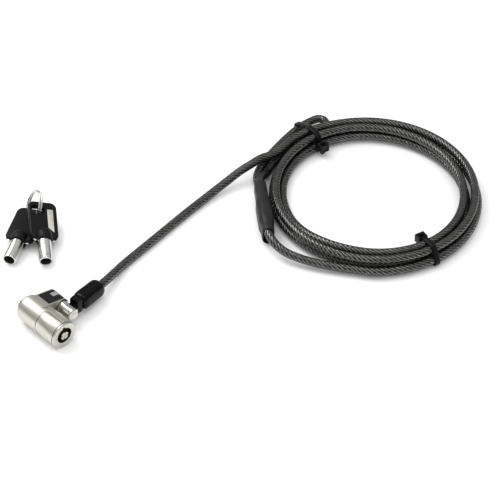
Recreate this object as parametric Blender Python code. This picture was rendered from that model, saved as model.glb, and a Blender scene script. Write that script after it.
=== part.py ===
# Laptop cable lock: tubular-key lock head on a swivelling fork, coiled steel
# cable with a pinched loop at its far end, two cable ties, and two tubular
# keys on a split ring.
#
# World frame: +Z up, the table is Z = 0.  The lock barrel lies along Y with
# the key face towards -Y and the laptop nose towards +Y; the cable leaves
# towards +X.  All dimensions are millimetres; MM turns them into metres when
# an object is written.
#
# Name endings: _R radius, _L length, _W width, _T thickness, _A angle in
# degrees, _X _Y _Z places in the frame of the section.
import math

import bmesh
import bpy
import numpy as np

MM = 0.001
GAP = 0.3                      # clearance kept between neighbouring pieces
CUT = 1.0                      # how far a cutter reaches past the face it opens
SHARP_A = 35                   # edges steeper than this are shaded sharp

CENTRE = (117.14, -26.26, 0.0)   # middle of the whole layout, moved to the origin

# ---- lock head (local frame: barrel axis on Y, rear face at y = 0) ----------
BARREL_R = 7.0
HEAD_L = 28.0                  # rear face to front face
HEAD_ROLL_A = 13.4             # how far the arm dips towards the table
BEZEL_T = 1.1
SPLIT_Y = -14.4                # rear edge of the front sleeve
SLEEVE_IN_R = 5.5              # inner radius of the front sleeve
RAIL_A0, RAIL_A1 = -24.0, 98.0   # housing rail beside the sleeve, from +X
CORE_R, CORE_BORE_R = 5.15, 4.6
PLUG_R = 4.4
SHEAR_Y = -12.8                # plane where key pins meet driver pins
KEYWAY_R = 3.65
NOTCH_A = 104.0                # keyway notch, from +X
POST_R = 2.2
PIN_R, PIN_HOLE_R, PIN_CIRCLE_R = 0.52, 0.72, 3.0
PIN_SLOTS = 8                  # holes in the plug, one of them stays empty
PIN_LENGTHS = (5.9, 6.3, 5.7, 6.0, 5.9, 5.4, 5.7)
PIN_COUNT = len(PIN_LENGTHS)
PIN_STEP_A = 360.0 / PIN_SLOTS
DRIVER_L = 3.2
SPINDLE_R = 1.35

# ---- arm and swivel ---------------------------------------------------------
ARM_Y0, ARM_Y1 = -11.4, -1.5
ARM_X, ARM_Z, ARM_R = 11.8, 3.05, 3.9    # centre and radius of the rounded end
DRUM_R, DRUM_END_Y = 3.3, -20.6
PIVOT_Y = -16.0
PIVOT_PIN_R, PIVOT_BORE_R = 0.8, 0.95
TONGUE_T = 1.7
CABLE_YAW_A, CABLE_PITCH_A = 10.5, -4.2  # boot direction in the world
NECK_R = 2.75                            # part of the fork inside the boot
BOOT_R, BOOT_X0, BOOT_X1 = 4.4, 8.1, 24.2

# ---- cable ------------------------------------------------------------------
CABLE_R, JACKET_IN_R, CORE_WIRE_R = 2.2, 1.8, 1.5
PITCH = 2 * CABLE_R + GAP      # centre distance of neighbouring strands
HALF_PITCH = PITCH / 2


# ======================= shared helpers ======================================
def rad(degrees):
    return math.radians(degrees)


def cos_sin(degrees):
    return math.cos(rad(degrees)), math.sin(rad(degrees))


def unit(vector):
    vector = np.asarray(vector, float)
    return vector / np.linalg.norm(vector)


def direction(yaw, pitch):
    """Unit vector turned yaw degrees from +X and raised pitch degrees."""
    cos_yaw, sin_yaw = cos_sin(yaw)
    cos_pitch, sin_pitch = cos_sin(pitch)
    return np.array([cos_yaw * cos_pitch, sin_yaw * cos_pitch, sin_pitch])


def arc(centre_a, centre_b, radius, start, end, steps):
    """Plane points on a circle from start to end degrees."""
    points = []
    for i in range(steps + 1):
        cos, sin = cos_sin(start + (end - start) * i / steps)
        points.append((centre_a + radius * cos, centre_b + radius * sin))
    return points


# Every shape below is a (verts, faces) pair.
def skin(rows, closed=False):
    """Faces between successive rows of vertex indices.  A row is a ring, or a
    single vertex on the axis; closed joins the last row to the first."""
    faces = []
    for a, b in zip(rows, rows[1:] + (rows[:1] if closed else [])):
        n = max(len(a), len(b))
        for i in range(n):
            j = (i + 1) % n
            if len(a) == 1:
                faces.append((a[0], b[j], b[i]))
            elif len(b) == 1:
                faces.append((a[i], a[j], b[0]))
            else:
                faces.append((a[i], a[j], b[j], b[i]))
    return faces


def index_rows(rings, start=0):
    n = len(rings[0])
    return [list(range(start + k * n, start + (k + 1) * n)) for k in range(len(rings))]


def loft(rings, closed=False):
    """Body skinned over rings of points; unless closed, both ends are capped."""
    rows = index_rows(rings)
    caps = [] if closed else [tuple(reversed(rows[0])), tuple(rows[-1])]
    return [point for ring in rings for point in ring], caps + skin(rows, closed)


def lathe(profile, n):
    """Solid of revolution about Y.  profile is a closed loop of (radius, y)
    points or, when both ends have radius 0, a chain that closes on the axis."""
    verts, rows = [], []
    for radius, y in profile:
        count = n if radius else 1
        rows.append(list(range(len(verts), len(verts) + count)))
        for i in range(count):
            a = 2 * math.pi * i / n
            verts.append((radius * math.cos(a), y, radius * math.sin(a)))
    return verts, skin(rows, closed=profile[0][0] > 0)


def prism(outline, y0, y1):
    """Closed XZ outline pushed along Y from y0 to y1."""
    return loft([[(x, y, z) for x, z in outline] for y in (y0, y1)])


def slab(outline, z0, z1):
    """Closed XY outline pushed along Z from z0 to z1."""
    return loft([[(x, y, z) for x, y in outline] for z in (z0, z1)])


def box(x0, x1, y0, y1, z0, z1):
    return prism([(x0, z0), (x1, z0), (x1, z1), (x0, z1)], y0, y1)


def sector(outer, inner, start, end, y0, y1, steps):
    """Part of a tube about Y between two angles."""
    return prism(arc(0, 0, outer, start, end, steps) + arc(0, 0, inner, end, start, steps), y0, y1)


def sweep(path, radius, n, inner=None, up=(0, 0, 1), phase=0.0):
    """Round tube (or bar when inner is None) along a 3-D path."""
    path = [np.asarray(point, float) for point in path]
    spans = [unit(q - p) for p, q in zip(path, path[1:])]

    def rings(ring_r):
        result = []
        for k, point in enumerate(path):
            tangent = unit(spans[min(k, len(spans) - 1)] + spans[max(k - 1, 0)])
            across = unit(np.cross(up, tangent))
            over = np.cross(tangent, across)
            angles = [2 * math.pi * i / n + phase for i in range(n)]
            result.append([tuple(point + ring_r * (math.cos(a) * across + math.sin(a) * over))
                           for a in angles])
        return result

    outside = rings(radius)
    if inner is None:
        return loft(outside)
    inside = rings(inner)
    outer_rows = index_rows(outside)
    inner_rows = index_rows(inside, len(outside) * n)
    faces = skin(outer_rows) + [face[::-1] for face in skin(inner_rows)]
    for end in (0, -1):
        faces += skin([outer_rows[end], inner_rows[end]])
    return [point for ring in outside + inside for point in ring], faces


def rod(start, end, radius, n):
    """Straight round bar."""
    axis = unit(np.subtract(end, start))
    return sweep([start, end], radius, n, up=(0, 0, 1) if abs(axis[2]) < 0.9 else (1, 0, 0))


def rod_y(x, z, y0, y1, radius, n):
    """Straight round bar parallel to Y."""
    return rod((x, y0, z), (x, y1, z), radius, n)


def build_mesh(name, verts, faces):
    mesh = bpy.data.meshes.new(name)
    mesh.from_pydata([tuple(v) for v in verts], [], [tuple(f) for f in faces])
    bm = bmesh.new()
    bm.from_mesh(mesh)
    bmesh.ops.recalc_face_normals(bm, faces=bm.faces)
    if bm.calc_volume(signed=True) < 0:
        bmesh.ops.reverse_faces(bm, faces=bm.faces)
    bm.to_mesh(mesh)
    bm.free()
    return mesh


def work_object(shape):
    ob = bpy.data.objects.new("work", build_mesh("work", *shape))
    bpy.context.collection.objects.link(ob)
    return ob


def solid(shape, *steps):
    """Build one body, then cut ('-') or add ('+') the other bodies in order
    with exact Booleans."""
    base = work_object(shape)
    for sign, other in steps:
        tool = work_object(other)
        boolean = base.modifiers.new("cut", "BOOLEAN")
        boolean.operation = "DIFFERENCE" if sign == "-" else "UNION"
        boolean.solver = "EXACT"
        boolean.object = tool
        bpy.context.view_layer.update()
        depsgraph = bpy.context.evaluated_depsgraph_get()
        mesh = bpy.data.meshes.new_from_object(base.evaluated_get(depsgraph))
        base.modifiers.clear()
        base.data = mesh
        bpy.data.objects.remove(tool, do_unlink=True)
    bm = bmesh.new()
    bm.from_mesh(base.data)
    bmesh.ops.remove_doubles(bm, verts=bm.verts, dist=0.001)
    bm.verts.index_update()
    verts = [tuple(v.co) for v in bm.verts]
    faces = [tuple(v.index for v in f.verts) for f in bm.faces]
    bm.free()
    bpy.data.objects.remove(base, do_unlink=True)
    return verts, faces


def piece(name, shape, material, place=None, origin=(0, 0, 0)):
    """Write one named object.  place maps local millimetres to world
    millimetres; origin is the world point its object origin sits on."""
    verts, faces = shape
    if place is not None:
        verts = [place(v) for v in verts]
    origin = np.asarray(origin, float)
    mesh = build_mesh(name, [tuple((np.asarray(v) - origin) * MM) for v in verts], faces)
    mesh.materials.append(material)
    mesh.polygons.foreach_set("use_smooth", [True] * len(mesh.polygons))
    mesh.set_sharp_from_angle(angle=rad(SHARP_A))
    ob = bpy.data.objects.new(name, mesh)
    ob.location = [(a - c) * MM for a, c in zip(origin, CENTRE)]
    bpy.context.collection.objects.link(ob)


# ======================= scene and materials =================================
for old in list(bpy.data.objects):
    bpy.data.objects.remove(old, do_unlink=True)


def new_material(name, colour, metallic, roughness):
    mat = bpy.data.materials.new(name)
    mat.use_nodes = True
    shader = mat.node_tree.nodes["Principled BSDF"]
    shader.inputs["Base Color"].default_value = (*colour, 1.0)
    shader.inputs["Metallic"].default_value = metallic
    shader.inputs["Roughness"].default_value = roughness
    mat.diffuse_color = (*colour, 1.0)
    return mat


NICKEL = new_material("satin_nickel", colour=(0.72, 0.70, 0.66), metallic=1.0, roughness=0.32)
CHROME = new_material("chrome", colour=(0.85, 0.85, 0.85), metallic=1.0, roughness=0.08)
STEEL = new_material("steel", colour=(0.60, 0.60, 0.60), metallic=1.0, roughness=0.30)
BRASS = new_material("brass", colour=(0.72, 0.56, 0.30), metallic=1.0, roughness=0.35)
BLACK = new_material("black_plastic", colour=(0.012, 0.012, 0.014), metallic=0.0, roughness=0.45)
GLOSS = new_material("gloss_black", colour=(0.008, 0.008, 0.009), metallic=0.0, roughness=0.15)
RUBBER = new_material("black_rubber", colour=(0.02, 0.02, 0.02), metallic=0.0, roughness=0.75)
VINYL = new_material("smoke_vinyl", colour=(0.06, 0.062, 0.062), metallic=0.0, roughness=0.22)
WIRE = new_material("wire_rope", colour=(0.42, 0.42, 0.42), metallic=1.0, roughness=0.38)
SILVER = new_material("silver_label", colour=(0.60, 0.59, 0.54), metallic=0.6, roughness=0.40)
ALUMINIUM = new_material("aluminium", colour=(0.70, 0.70, 0.71), metallic=1.0, roughness=0.40)


# ======================= frames ==============================================
def head(point):
    """Lock-head frame to world: roll about the barrel, rest on the table."""
    cos, sin = cos_sin(HEAD_ROLL_A)
    x, y, z = point
    return (x * cos + z * sin, y, -x * sin + z * cos + BARREL_R)


BARREL_ORIGIN = head((0, 0, 0))
SWIVEL_ORIGIN = head((ARM_X, 0.0, ARM_Z))
PIVOT = np.array(head((ARM_X, PIVOT_Y, ARM_Z)))

BOOT_AXIS = direction(CABLE_YAW_A, CABLE_PITCH_A)
BOOT_SIDE = direction(CABLE_YAW_A + 90, 0)
BOOT_UP = np.cross(BOOT_AXIS, BOOT_SIDE)


def boot(point):
    """Fork and boot frame (x along the cable from the pivot) to world."""
    x, y, z = point
    return tuple(PIVOT + x * BOOT_AXIS + y * BOOT_SIDE + z * BOOT_UP)


def boot_axis_point(x):
    return np.array(boot((x, 0, 0)))


def knuckle(point):
    """Knuckle frame to world: x away from the barrel, y along the swivel axis
    as in the world, pitched so its slot takes the tongue."""
    cos, sin = cos_sin(CABLE_PITCH_A)
    x, y, z = point
    return (PIVOT[0] + x * cos - z * sin, y, PIVOT[2] + x * sin + z * cos)


# ======================= lock head: case =====================================
ROUND = 40                     # sides of the barrel's outer surfaces
FRONT_Y = -HEAD_L
SLEEVE_Y0 = FRONT_Y + BEZEL_T + GAP      # front edge of the parts behind the bezel
HOUSING_Y0 = SPLIT_Y + GAP               # front edge of the housing's full circle
OPEN_Y = -30.0                 # front end of cutters that open the barrel
SPINDLE_BORE_R = SPINDLE_R + 0.25
STEM_R, STEM_BORE_R = 1.6, 1.9           # stem of the swivel drum in the arm
RECESS_DEPTH = 1.1                       # recess in the arm's -Y side for the drum
LABEL_X0, LABEL_MARGIN, LABEL_T = 3.4, 0.62, 0.32
LABEL_END_A = -40.0            # where the label pocket stops round the arm's end
DOWEL_A, DOWEL_Y = 92.0, -12.7


def head_piece(name, shape, material, origin=SWIVEL_ORIGIN):
    piece(name, shape, material, head, origin)


def radial_rod(angle, y, r0, r1, radius):
    """Bar pointing away from the barrel axis."""
    cos, sin = cos_sin(angle)
    return rod((r0 * cos, y, r0 * sin), (r1 * cos, y, r1 * sin), radius, 12)


def arm_shape():
    outline = [(0.0, ARM_Z - ARM_R), (ARM_X, ARM_Z - ARM_R)]
    outline += arc(ARM_X, ARM_Z, ARM_R, -78, 90, 10)
    outline += [(0.0, ARM_Z + ARM_R)]
    return prism(outline, ARM_Y0, ARM_Y1)


def label_pocket():
    top, floor_r = ARM_Z + ARM_R + CUT, ARM_R - LABEL_MARGIN
    outline = [(LABEL_X0, top), (ARM_X, top)]
    outline += arc(ARM_X, ARM_Z, ARM_R + CUT, 80, LABEL_END_A, 8)
    outline += arc(ARM_X, ARM_Z, floor_r, LABEL_END_A, 90, 9)
    outline += [(LABEL_X0, ARM_Z + floor_r)]
    return prism(outline, ARM_Y0 + LABEL_MARGIN, ARM_Y1 - LABEL_MARGIN)


def lock_housing():
    """Rear half of the barrel with the arm and the rail beside the sleeve."""
    edge, cavity_y, front_room_y = 0.5, -4.4, SPLIT_Y + 0.6
    cavity_r, front_room_r = CORE_BORE_R + 0.1, CORE_R + GAP
    rear = lathe([(0, 0), (BARREL_R - edge, 0), (BARREL_R, -edge), (BARREL_R, HOUSING_Y0),
                  (0, HOUSING_Y0)], ROUND)
    # A hair inside the barrel, so the two surfaces do not coincide.
    rail = sector(BARREL_R - 0.01, SLEEVE_IN_R, RAIL_A0, RAIL_A1, SLEEVE_Y0, HOUSING_Y0 + 1.0, 14)
    cavity = lathe([(0, cavity_y), (cavity_r, cavity_y), (cavity_r, OPEN_Y), (0, OPEN_Y)], 32)
    front_room = lathe([(0, front_room_y), (front_room_r, front_room_y), (front_room_r, OPEN_Y),
                        (0, OPEN_Y)], 32)
    head_piece("lock_housing", solid(
        rear, ("+", arm_shape()), ("+", rail), ("-", cavity), ("-", front_room),
        ("-", rod_y(0, 0, -6, 2, SPINDLE_BORE_R, 16)),
        ("-", label_pocket()),
        ("-", rod_y(ARM_X, ARM_Z, ARM_Y0 + RECESS_DEPTH, ARM_Y0 - CUT, DRUM_R + 0.25, 24)),
        ("-", rod_y(ARM_X, ARM_Z, ARM_Y1 - 2.2, ARM_Y0 - CUT, STEM_BORE_R, 16)),
        ("-", radial_rod(DOWEL_A, DOWEL_Y, 5.35, 9, 1.0))), NICKEL)


def retaining_dowel():
    head_piece("retaining_dowel", radial_rod(DOWEL_A, DOWEL_Y, 5.6, 6.85, 0.72), STEEL)


def arm_label():
    """Inlay following the arm's top and rounded end."""
    inner = ARM_R - LABEL_MARGIN + GAP
    outer = inner + LABEL_T
    end = LABEL_END_A + 6
    outline = [(LABEL_X0 + GAP, ARM_Z + outer)]
    outline += arc(ARM_X, ARM_Z, outer, 90, end, 9) + arc(ARM_X, ARM_Z, inner, end, 90, 9)
    outline += [(LABEL_X0 + GAP, ARM_Z + inner)]
    margin = LABEL_MARGIN + GAP
    head_piece("arm_label", prism(outline, ARM_Y0 + margin, ARM_Y1 - margin), BLACK)


def front_sleeve():
    """The rest of the circle beside the rail."""
    gap_angle = math.degrees(GAP / BARREL_R)
    head_piece("front_sleeve", sector(BARREL_R, SLEEVE_IN_R, RAIL_A1 + gap_angle,
                                      360 + RAIL_A0 - gap_angle, SLEEVE_Y0, SPLIT_Y, 24), NICKEL)


def front_bezel():
    lip, edge, notch_r = 0.15, 0.45, 0.85
    back = FRONT_Y + BEZEL_T
    ring = lathe([(KEYWAY_R, FRONT_Y + lip), (KEYWAY_R + lip, FRONT_Y),
                  (BARREL_R - edge, FRONT_Y), (BARREL_R, FRONT_Y + edge),
                  (BARREL_R, back), (KEYWAY_R, back)], ROUND)
    x, z = ((KEYWAY_R + 0.2) * part for part in cos_sin(NOTCH_A))
    notch = rod_y(x, z, FRONT_Y - CUT, FRONT_Y + 3, notch_r, 12)
    head_piece("front_bezel", solid(ring, ("-", notch)), NICKEL)


def core_shell():
    back = SPLIT_Y + 0.3
    head_piece("core_shell", lathe([(CORE_BORE_R, back), (CORE_BORE_R, SLEEVE_Y0),
                                    (CORE_R, SLEEVE_Y0), (CORE_R, back)], 32), BRASS)


# ======================= lock head: mechanism ================================
BLOCK_Y0, BLOCK_Y1 = SHEAR_Y + 0.1, -4.8
PLUG_Y0, PLUG_Y1 = -20.2, SHEAR_Y - 0.1
DRIVER_HOLE_Y = -5.6           # closed end of the driver holes
PIN_FROM_SHEAR = 0.12          # pin ends to the shear plane
PIN_SIDES = 8
SPRING_R, SPRING_WIRE_R = 0.4, 0.11
SPRING_TURNS, SPRING_STEPS = 3, 6        # steps are per turn
SPRING_GAP, SPRING_INSET = 0.2, 0.15     # to its neighbours, and wire centre to its end
BAR_Y0, BAR_Y1 = 3.1, 4.3
BAR_HALF_L, BAR_HALF_W, BAR_CHAMFER = 3.15, 1.3, 0.5


def slot_point(k, y):
    """Point on the axis of pin slot k."""
    cos, sin = cos_sin(NOTCH_A + PIN_STEP_A * (k + 0.5))
    return np.array([PIN_CIRCLE_R * cos, y, PIN_CIRCLE_R * sin])


def slot_rod(k, y0, y1, radius):
    return rod(slot_point(k, y0), slot_point(k, y1), radius, PIN_SIDES)


def driver_block():
    """Fixed rear half of the pin chambers."""
    bore = SPINDLE_R + GAP
    block = lathe([(bore, BLOCK_Y0), (PLUG_R, BLOCK_Y0), (PLUG_R, BLOCK_Y1), (bore, BLOCK_Y1)], 24)
    holes = [("-", slot_rod(k, SHEAR_Y - CUT, DRIVER_HOLE_Y, PIN_HOLE_R))
             for k in range(PIN_COUNT)]
    head_piece("driver_block", solid(block, *holes), BRASS)


def lock_plug():
    """Rotating front half of the pin chambers."""
    plug = lathe([(0, PLUG_Y1), (PLUG_R, PLUG_Y1), (PLUG_R, PLUG_Y0), (0, PLUG_Y0)], 24)
    holes = [("-", slot_rod(k, SHEAR_Y + CUT, PLUG_Y0 - CUT, PIN_HOLE_R))
             for k in range(PIN_SLOTS)]
    spindle_socket = rod_y(0, 0, SHEAR_Y + CUT, SHEAR_Y - 3.3, SPINDLE_BORE_R, 12)
    post_socket = rod_y(0, 0, PLUG_Y0 - CUT, PLUG_Y0 + 2.6, 1.5, 12)
    head_piece("lock_plug", solid(plug, *holes, ("-", spindle_socket), ("-", post_socket)),
               BRASS, BARREL_ORIGIN)


def centre_post():
    """Post with four grooves along it, a stub into the plug and a conical dimple."""
    sides, groove_depth, dimple_r = 32, 0.5, 1.0
    outline = []
    for i in range(sides):
        cos, sin = cos_sin(360.0 / sides * i)
        radius = POST_R - (groove_depth if i % 8 in (3, 4) else 0.0)
        outline.append((radius * cos, radius * sin))
    dimple = lathe([(0, FRONT_Y + 1.1), (dimple_r, FRONT_Y + 0.3), (dimple_r, FRONT_Y - CUT),
                    (0, FRONT_Y - CUT)], 12)
    head_piece("centre_post", solid(prism(outline, FRONT_Y + 0.5, PLUG_Y0 - 0.4),
                                    ("+", rod_y(0, 0, PLUG_Y0 - 1, PLUG_Y0 + 2.3, 1.2, 12)),
                                    ("-", dimple)), CHROME, BARREL_ORIGIN)


def t_bar_spindle():
    """Spindle along the barrel with a chamfered cross bar at its +Y end."""
    flat_x, flat_z = BAR_HALF_L - BAR_CHAMFER, BAR_HALF_W - BAR_CHAMFER
    outline = [(-BAR_HALF_L, -flat_z), (-flat_x, -BAR_HALF_W), (flat_x, -BAR_HALF_W),
               (BAR_HALF_L, -flat_z), (BAR_HALF_L, flat_z), (flat_x, BAR_HALF_W),
               (-flat_x, BAR_HALF_W), (-BAR_HALF_L, flat_z)]
    head_piece("t_bar_spindle", solid(rod_y(0, 0, SHEAR_Y - 3.0, BAR_Y1 - 0.4, SPINDLE_R, 16),
                                      ("+", prism(outline, BAR_Y0, BAR_Y1))),
               STEEL, BARREL_ORIGIN)


def nose_guard():
    """Flat collar round the spindle with a lug on either side."""
    bore, outer, back = SPINDLE_R + GAP, 3.3, 1.2
    lug_x0, lug_x1, lug_y0, lug_y1, lug_z = 2.05, 3.1, 0.6, 2.7, 1.2
    collar = lathe([(bore, GAP), (bore, back), (outer, back), (outer, GAP)], 24)
    head_piece("nose_guard", solid(
        collar,
        ("+", box(lug_x0, lug_x1, lug_y0, lug_y1, -lug_z, lug_z)),
        ("+", box(-lug_x1, -lug_x0, lug_y0, lug_y1, -lug_z, lug_z))), STEEL)


def nose_washer():
    profile = [(3.65, GAP), (3.65, 1.1), (5.7, 1.1), (6.1, 0.8), (6.1, GAP)]   # radius, y
    head_piece("nose_washer", lathe(profile, 24), RUBBER)


def pin_stack(k):
    """Key pin in the plug, driver pin and spring in the block."""
    number = k + 1
    shear_origin = head(slot_point(k, SHEAR_Y))
    key_y = SHEAR_Y - PIN_FROM_SHEAR
    head_piece(f"key_pin_{number}", slot_rod(k, key_y, key_y - PIN_LENGTHS[k], PIN_R),
               BRASS, shear_origin)
    driver_y = SHEAR_Y + PIN_FROM_SHEAR
    head_piece(f"driver_pin_{number}", slot_rod(k, driver_y, driver_y + DRIVER_L, PIN_R),
               STEEL, shear_origin)

    y0 = driver_y + DRIVER_L + SPRING_GAP + SPRING_INSET
    y1 = DRIVER_HOLE_Y - SPRING_GAP - SPRING_INSET
    x, _, z = slot_point(k, 0)
    steps = SPRING_TURNS * SPRING_STEPS
    helix = []
    for i in range(steps + 1):
        a = 2 * math.pi * i / SPRING_STEPS
        helix.append((x + SPRING_R * math.cos(a), y0 + (y1 - y0) * i / steps,
                      z + SPRING_R * math.sin(a)))
    head_piece(f"pin_spring_{number}", sweep(helix, SPRING_WIRE_R, 3, up=(0, 1, 0)), STEEL,
               head(slot_point(k, DRIVER_HOLE_Y)))


# ======================= swivel, fork and boot ===============================
TONGUE_HALF_W, TONGUE_END_X = 1.7, 5.4
SADDLE_R, SADDLE_HALF_T = 5.0, 3.0
NECK_END_X, NECK_BORE_END_X = BOOT_X0 + 5.0, BOOT_X0 + 6.0
BOOT_POWER, BOOT_FIT = 2.6, 0.97         # superellipse exponent and scale
BOOT_SIDES = 20
BOOT_OUTER = (                           # x, radius
    (BOOT_X0, 3.6), (BOOT_X0 + 1.6, BOOT_R), (BOOT_X1 - 3.2, BOOT_R),
    (BOOT_X1 - 1.4, BOOT_R - 0.75), (BOOT_X1 - 0.35, BOOT_R - 1.5))
BOOT_BORE = (                            # x, radius
    (BOOT_X1, CABLE_R + GAP + 0.25), (NECK_BORE_END_X, CABLE_R + GAP),
    (NECK_BORE_END_X, NECK_R + GAP), (BOOT_X0, NECK_R + GAP))


def swivel_knuckle():
    """Drum on a stem in the arm, slotted for the fork's tongue."""
    stem_y, drum_y = ARM_Y1 - 2.6, ARM_Y0 + 0.8
    rear_edge, front_edge = 0.3, 0.5
    drum = lathe([(0, stem_y), (STEM_R, stem_y), (STEM_R, drum_y), (DRUM_R - rear_edge, drum_y),
                  (DRUM_R, drum_y - rear_edge), (DRUM_R, DRUM_END_Y + front_edge),
                  (DRUM_R - front_edge, DRUM_END_Y), (0, DRUM_END_Y)], 32)
    slot_half = TONGUE_T / 2 + GAP
    slot = box(-1.75, 6, PIVOT_Y - 3.8, PIVOT_Y + 3.5, -slot_half, slot_half)
    flat = box(2.3, 6, DRUM_END_Y - CUT, ARM_Y0 - 0.4, -4, 4)
    pin_bore = rod((0, PIVOT_Y, -4), (0, PIVOT_Y, 4), PIVOT_BORE_R, 12)
    dimple_y = DRUM_END_Y + 1.5
    dimple = rod((-1.5, dimple_y, 2.3), (-3.1, dimple_y, 3.4), 0.45, 8)
    piece("swivel_knuckle", solid(drum, ("-", slot), ("-", flat), ("-", pin_bore), ("-", dimple)),
          CHROME, knuckle, PIVOT)


def pivot_pin():
    half = 2.95
    piece("pivot_pin", rod((0, PIVOT_Y, -half), (0, PIVOT_Y, half), PIVOT_PIN_R, 12),
          STEEL, knuckle, PIVOT)


def cable_fork():
    """Tongue in the drum's slot, saddle beyond the drum, neck into the boot."""
    tongue = [(0.8 * x, y) for x, y in arc(0, 0, TONGUE_HALF_W, 90, 270, 12)]
    tongue += [(TONGUE_END_X, -TONGUE_HALF_W), (TONGUE_END_X, TONGUE_HALF_W)]
    # The saddle's side towards the drum is an arc about the pin, so it can swing.
    saddle = arc(0, 0, SADDLE_R, -30, 30, 6) + [(6.3, 2.8), (7.7, 2.3), (7.7, -2.3), (6.3, -2.8)]
    neck = rod((6.8, 0, 0), (NECK_END_X, 0, 0), NECK_R, 16)
    pin_bore = rod((0, 0, -5), (0, 0, 5), PIVOT_BORE_R, 12)
    wire_bore = rod((BOOT_X0 + 1.6, 0, 0), (BOOT_X0 + 7.0, 0, 0), CORE_WIRE_R + GAP, 12)
    piece("cable_fork", solid(slab(tongue, -TONGUE_T / 2, TONGUE_T / 2),
                              ("+", slab(saddle, -SADDLE_HALF_T, SADDLE_HALF_T)), ("+", neck),
                              ("-", pin_bore), ("-", wire_bore)), BLACK, boot, PIVOT)


def boot_ring(x, radius, squared):
    """Circle across the boot, or a squarish superellipse."""
    points = []
    for i in range(BOOT_SIDES):
        a = 2 * math.pi * i / BOOT_SIDES
        cos, sin = math.cos(a), math.sin(a)
        swell = 1.0
        if squared:
            swell = (abs(cos) ** BOOT_POWER + abs(sin) ** BOOT_POWER) ** (-1 / BOOT_POWER)
            swell *= BOOT_FIT
        points.append((x, radius * cos * swell, radius * sin * swell))
    return points


def strain_boot():
    rings = [boot_ring(x, radius, True) for x, radius in BOOT_OUTER]
    rings += [boot_ring(x, radius, False) for x, radius in BOOT_BORE]
    piece("strain_boot", loft(rings, closed=True), GLOSS, boot, PIVOT)


# ======================= cable ===============================================
COIL_CENTRE = (184.2, -55.0)
COIL_LIFT = 1.45               # the ties carry the coil just off the table
LOW_Z = CABLE_R + COIL_LIFT
TOP_Z = LOW_Z + PITCH
JOIN_R, TOP_R, INNER_R = 59.2, 56.4, 49.1
JOIN_A = 105.0                 # angle where the straight run joins the coil
# Degrees wound clockwise from the join:
STEP = 15.0                    # one cable segment
BLEND_END = 58.0               # the run has settled to the top layer's radius
DROP_START = STEP * round((BLEND_END + 360.0 * (TOP_R - INNER_R) / PITCH) / STEP)
DROP_END = DROP_START + 60.0   # the cable has dropped to the lower layer
TURNS_END = 1320.0             # the cable leaves the coil

# A hand-wound coil is no true circle: drawn in on two sides, let out on a
# third, and its strands lie looser where no tie holds them.
LOOSE = ((0.40, -10), (0.15, 190))                   # extra spacing, angle
SHIFT = ((-2.9, 136), (-1.0, -43.6), (1.1, 226))     # radius change, angle

# Straight run: flat on the table between two points, then up over the loop's legs.
TABLE_A, TABLE_B = np.array([60.0, -4.6, CABLE_R]), np.array([106.5, 2.4, CABLE_R])
RUN = ((122.4, 4.0, 2.7), (137.9, 4.4, 4.7), (145.3, 4.1, 6.3),   # x, y, z
       (152.4, 2.9, 7.9), (160.2, 1.85, 8.9))
RUN_END_DIR = unit([1.0, -0.06, 0.0])

# From the coil into the sleeve: radius, angle, z.
SLEEVE_APPROACH = ((58.0, 216.0, 3.7), (58.7, 207.0, 3.8), (60.4, 198.0, 4.1),
                   (62.6, 189.5, 4.7), (64.9, 182.2, 5.9), (65.7, 177.0, 7.5))

# Loop legs: angles where the coil-following part starts and where the bend begins.
LEG_A0, LEG_A1, LEG_STEPS = 108.0, 69.0, 5
LEG_R, LEG_R_GAIN = 61.8, 4.6  # middle of the pair, and how far it moves out
EYE_R = 3.7
EYE_STEPS = 8
TWIST_END = 0.72               # share of the way down by which the pair lies flat
TWIST_SPREAD = 0.12            # extra half distance midway through the twist


def polar(radius, angle, z):
    """Point about the coil's centre."""
    cos, sin = cos_sin(angle)
    return np.array([COIL_CENTRE[0] + radius * cos, COIL_CENTRE[1] + radius * sin, z])


def clockwise(angle):
    """Direction of travel round the coil at one angle."""
    cos, sin = cos_sin(angle)
    return np.array([sin, -cos, 0.0])


def ease(t):
    t = min(1.0, max(0.0, t))
    return t * t * (3 - 2 * t)


def coil_radius(wound):
    """Spiral in along the top layer, drop, then spiral out along the lower."""
    if wound <= BLEND_END:
        return JOIN_R + (TOP_R - JOIN_R) * ease(wound / BLEND_END)
    top = TOP_R - PITCH * (min(wound, DROP_START) - BLEND_END) / 360.0
    return top + PITCH * max(0.0, wound - DROP_END) / 360.0


def coil_height(wound):
    return TOP_Z + (LOW_Z - TOP_Z) * ease((wound - DROP_START) / (DROP_END - DROP_START))


def bumps(table, angle):
    """Sum of smooth swellings round the coil, each widest at its own angle."""
    return sum(amount * max(0.0, math.cos(rad(angle - centre))) ** 2 for amount, centre in table)


def coil_point(radius, angle, z):
    """Point on the uneven, hand-wound coil."""
    loose = bumps(LOOSE, angle)
    return polar(TOP_R - (TOP_R - radius) * (1 + loose) + bumps(SHIFT, angle), angle, z)


def bezier(p0, p1, p2, p3, n):
    """Points along a cubic curve, leaving out its first."""
    points = []
    for i in range(1, n + 1):
        t = i / n
        points.append((1 - t) ** 3 * p0 + 3 * (1 - t) ** 2 * t * p1
                      + 3 * (1 - t) * t * t * p2 + t ** 3 * p3)
    return points


# Sleeve axis beside the coil; its two strands lie one above the other.
SLEEVE_Z = 6.4
SLEEVE_START, SLEEVE_MOUTH = polar(63.8, 169.0, SLEEVE_Z), polar(57.9, 133.0, SLEEVE_Z)
SLEEVE_DIR = unit(SLEEVE_MOUTH - SLEEVE_START)
SLEEVE_SIDE = np.array([-SLEEVE_DIR[1], SLEEVE_DIR[0], 0.0])     # away from the coil
STRAND_EXIT = 1.02             # where the strands leave the mouth, share of the axis


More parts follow.
